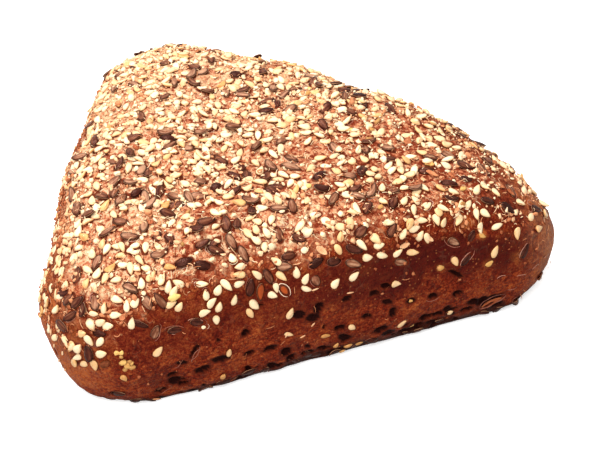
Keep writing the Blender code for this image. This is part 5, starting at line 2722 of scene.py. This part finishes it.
# Grit that stands out in the photo: chunks at the left, small bits on top, the kernel on the right.
SHOWN_GRIT = (
    ShownBit(122.5, 362, 20, 1.7, 1.3, 1.0, 0.35), ShownBit(127, 365, 70, 1.9, 1.4, 1.2, 0.55),
    ShownBit(131.5, 367, 10, 1.6, 1.1, 0.9, 0.75), ShownBit(125.5, 368.5, 0, 1.3, 0.9, 0.8, 0.8),
    ShownBit(133, 363, 40, 1.1, 0.8, 0.6, 0.45), ShownBit(129, 361, 0, 1.3, 0.9, 0.8, 0.85),
    ShownBit(117.5, 353, 10, 1.5, 1.1, 0.8, 0.30), ShownBit(121.5, 351.5, 60, 1.2, 0.9, 0.7, 0.12),
    ShownBit(122, 355.5, 0, 1.0, 0.8, 0.6, 0.7), ShownBit(174.2, 296, 15, 3.0, 2.0, 1.2, 0.02),
    ShownBit(350, 130.6, 0, 1.6, 1.2, 0.8, 0.05), ShownBit(308, 89, 0, 1.6, 1.2, 0.8, 0.05),
    ShownBit(309, 187.6, 20, 1.5, 1.2, 0.8, 0.05), ShownBit(489, 263, 40, 2.2, 1.4, 0.4, 0.45),
    ShownBit(428.7, 165.8, -10, 2.8, 1.9, 0.4, 0.5, 0.5),
    ShownBit(411, 300.5, 20, 1.6, 1.0, 0.6, 0.5, 0.0, -0.2),
    ShownBit(440, 267, 0, 2.0, 1.6, 0.9, 0.65, 0.0, 0.1), ShownBit(482, 236, -30, 2.2, 1.2, 0.4, 0.5),
    ShownBit(463, 188, 20, 2.0, 1.2, 0.4, 0.45),
)

# Husks and slivers that stand out in the photo: on top, at the left rim, then on the front wall.
SHOWN_HUSKS = (
    ShownBit(490.5, 302, 25, 5.8, 1.9, 0.7, 0.30, 0.2, -0.40), ShownBit(325.8, 221.6, 0, 2.4, 2.2, 0.3, 0.95),
    ShownBit(305, 250.7, 20, 1.9, 1.6, 0.6, 0.98), ShownBit(305, 231, 0, 2.2, 1.8, 0.6, 0.98),
    ShownBit(320.4, 251.2, -35, 3.3, 1.6, 0.3, 0.72, 0.4), ShownBit(431.7, 176, -25, 3.4, 1.3, 0.35, 0.50, 0.3),
    ShownBit(451.6, 176.5, -45, 2.4, 1.2, 0.4, 0.35), ShownBit(500, 186, -30, 2.6, 1.4, 0.25, 0.40, 0.2),
    ShownBit(511, 193, -40, 2.4, 1.2, 0.25, 0.35, 0.2), ShownBit(404, 244, 20, 2.6, 1.3, 0.3, 0.75, 0.6),
    ShownBit(428, 239, -30, 2.6, 1.2, 0.3, 0.75, 0.6), ShownBit(203.8, 326.5, 0, 1.1, 0.9, 0.4, 1.0),
    ShownBit(105, 363, 30, 3.0, 1.7, 0.9, 0.06), ShownBit(52, 332, 80, 2.2, 0.5, 0.4, 0.80),
    ShownBit(55, 345, 70, 2.0, 0.5, 0.4, 0.85), ShownBit(50, 318, 95, 1.8, 0.5, 0.4, 0.75),
    ShownBit(60, 360, 60, 2.4, 0.5, 0.4, 0.80), ShownBit(66, 369, 50, 2.0, 0.5, 0.4, 0.70),
    ShownBit(63, 352, 75, 1.7, 0.5, 0.3, 0.90), ShownBit(57, 309, 60, 1.8, 0.5, 0.4, 0.80),
    ShownBit(158, 400, -10, 3.2, 0.8, 0.4, 0.60), ShownBit(287, 334, 60, 1.7, 0.4, 0.3, 0.75),
    ShownBit(303, 336.5, 30, 1.6, 0.4, 0.3, 0.70), ShownBit(313, 324, 50, 1.5, 0.4, 0.3, 0.75),
    ShownBit(315, 289, 20, 1.8, 0.4, 0.3, 0.80), ShownBit(350, 293, 10, 1.8, 0.4, 0.3, 0.75),
    ShownBit(290.5, 312.5, 60, 1.6, 0.8, 0.4, 0.85),
)


# ---- Floor and light ----


@dataclass(frozen=True)
class LampPlan:
    """A square lamp: where it stands round the roll, in degrees and metres, and its power."""

    name: str
    azimuth: float
    elevation: float
    distance: float
    size: float
    power: float


@dataclass
class Studio:
    """A white table under a white sky, a lamp from behind on the left, and a weak one in front."""

    sky_strength: float = 0.74
    sky_colour: Colour = (1.0, 0.96, 0.91)
    table_size: float = 6.0
    table_colour: Colour = (0.93, 0.93, 0.935)
    key: LampPlan = LampPlan("key", 218.0, 66.0, 0.50, 0.18, 2.90)
    fill: LampPlan = LampPlan("fill", -30.0, 46.0, 0.60, 0.40, 3.45)
    table_glow: float = 0.35
    table_bounce: Colour = (0.42, 0.40, 0.38)
    aim_height: float = 20.0 * MM

    def sky(self) -> None:
        """Fill the world with even white light."""
        world = bpy.data.worlds.new("sky")
        world.use_nodes = True
        background = world.node_tree.nodes["Background"]
        background.inputs["Color"].default_value = (*self.sky_colour, 1.0)
        background.inputs["Strength"].default_value = self.sky_strength
        bpy.context.scene.world = world

    def table(self) -> Piece:
        """Make the table top, a plain white square that isn't part of the roll.

        It shows white with a soft shadow, as a lit table does, and throws less light back at
        the roll than it shows.

        Returns:
            The table top.
        """
        half = self.table_size / 2
        points = np.array([[-half, -half, 0.0], [half, -half, 0.0], [half, half, 0.0], [-half, half, 0.0]])
        table = fill_mesh("table", points, np.arange(4), np.array([4]))
        made = bpy.data.materials.new("table")
        made.use_nodes = True
        sheet = NodeSheet(made.node_tree)
        shader = made.node_tree.nodes["Principled BSDF"]
        shader.inputs["Base Color"].default_value = (*self.table_colour, 1.0)
        shader.inputs["Roughness"].default_value = 0.8
        shader.inputs["Emission Color"].default_value = (1.0, 1.0, 1.0, 1.0)
        shader.inputs["Emission Strength"].default_value = self.table_glow
        bounce = sheet.node("ShaderNodeBsdfDiffuse")
        sheet.feed(bounce.inputs["Color"], self.table_bounce)
        either = sheet.node("ShaderNodeMixShader")
        sheet.feed(either.inputs["Fac"], sheet.node("ShaderNodeLightPath").outputs["Is Camera Ray"])
        sheet.feed(either.inputs[1], bounce.outputs["BSDF"])
        sheet.feed(either.inputs[2], shader.outputs["BSDF"])
        sheet.feed(made.node_tree.nodes["Material Output"].inputs["Surface"], either.outputs["Shader"])
        table.data.materials.append(made)
        return table

    def lamp(self, plan: LampPlan) -> Piece:
        """Make one lamp, which looks at the middle of the roll.

        Args:
            plan: Its name, direction, distance, size and power.

        Returns:
            The lamp's object.
        """
        azimuth, elevation = math.radians(plan.azimuth), math.radians(plan.elevation)
        back = np.array([math.sin(azimuth) * math.cos(elevation), -math.cos(azimuth) * math.cos(elevation),
                         math.sin(elevation)])
        right = unit(np.cross(np.array([0.0, 0.0, 1.0]), back))
        matrix = np.eye(4)
        matrix[:3, :3] = np.stack([right, np.cross(back, right), back]).T
        matrix[:3, 3] = np.array([0.0, 0.0, self.aim_height]) + back * plan.distance
        lamp = bpy.data.lights.new(plan.name, "AREA")
        lamp.shape = "SQUARE"
        lamp.size = plan.size
        lamp.energy = plan.power
        made = bpy.data.objects.new(plan.name, lamp)
        made.matrix_world = Matrix(matrix.tolist())
        bpy.context.scene.collection.objects.link(made)
        return made

    def build(self) -> None:
        """Set up sky, table and lamps."""
        self.sky()
        self.table()
        self.lamp(self.key)
        self.lamp(self.fill)
        bpy.context.scene.view_settings.view_transform = "Standard"


# ---- Putting the roll together ----


def lump_kinds(crust: Crust) -> list[Lumps]:
    """Return every kind of lump on the crust, from the finest to the coarsest.

    Args:
        crust: The crust that the pieces lie on.

    Returns:
        The kinds, in the order in which they are built.
    """
    bran, grit = BranFinish(), GritFinish()
    grain, crumb = lump_shape(5, 1), lump_shape(5, 2)
    flake, shell = lump_shape(8, 2, 0.2, 0.6), lump_shape(14, 4, 0.3, 0.6)
    return [
        Lumps(crust, "meal", bran, grain, 73, count=3200, size=(0.22, 0.50), thinness=(0.5, 0.9),
              raggedness=0.30, lowest_share=0.06, tones=(3.0, 1.4), bareness=0.80),
        Lumps(crust, "crumbs", bran, crumb, 61, count=4400, size=(0.30, 1.0), thinness=(0.4, 0.8),
              raggedness=0.40, lowest_share=0.05, tones=(4.2, 1.3), bareness=0.68),
        Lumps(crust, "fragments", bran, flake, 79, count=1700, size=(1.0, 2.3), thinness=(0.25, 0.55),
              raggedness=0.45, lowest_share=0.03, tones=(7.0, 1.1), mealiness=0.40, curl=0.15),
        Lumps(crust, "bran_flakes", bran, flake, 67, count=2100, size=(0.7, 2.2), thinness=(0.10, 0.24),
              raggedness=0.35, lowest_share=0.08, tones=(3.6, 1.5), curl=0.30),
        Lumps(crust, "husks", bran, shell, 83, count=60, size=(1.6, 2.8), thinness=(0.08, 0.14),
              raggedness=0.15, lowest_share=0.05, tones=(2.6, 1.6), curl=0.35, shown=SHOWN_HUSKS),
        Lumps(crust, "grit", grit, shell, 71, count=14, size=(1.4, 2.6), thinness=(0.35, 0.6),
              raggedness=0.35, lowest_share=0.05, shown=SHOWN_GRIT),
    ]


def mount(piece: Piece) -> None:
    """Let a piece stand for the solid roll and ride on its body.

    Args:
        piece: The finished piece.
    """
    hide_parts(NODE)
    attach(piece, BODY)
    LOG.info("%s: %d vertices, %d faces", piece.name, len(piece.data.vertices), len(piece.data.polygons))


def main() -> None:
    """Build the looks of the roll, its light and its camera."""
    logging.basicConfig(level=logging.INFO, format="%(name)s: %(message)s")
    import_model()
    view = Viewpoint()
    view.build()
    Studio().build()
    crust = Crust(RollForm(), view)
    topping = Topping(crust)
    sesame, linseed = topping.build()
    mount(crust.build())
    mount(sesame)
    mount(linseed)
    mount(Films(crust, topping.bed).build())
    mount(Fibres(crust).build())
    for lumps in lump_kinds(crust):
        mount(lumps.build())


if __name__ == "__main__":
    main()
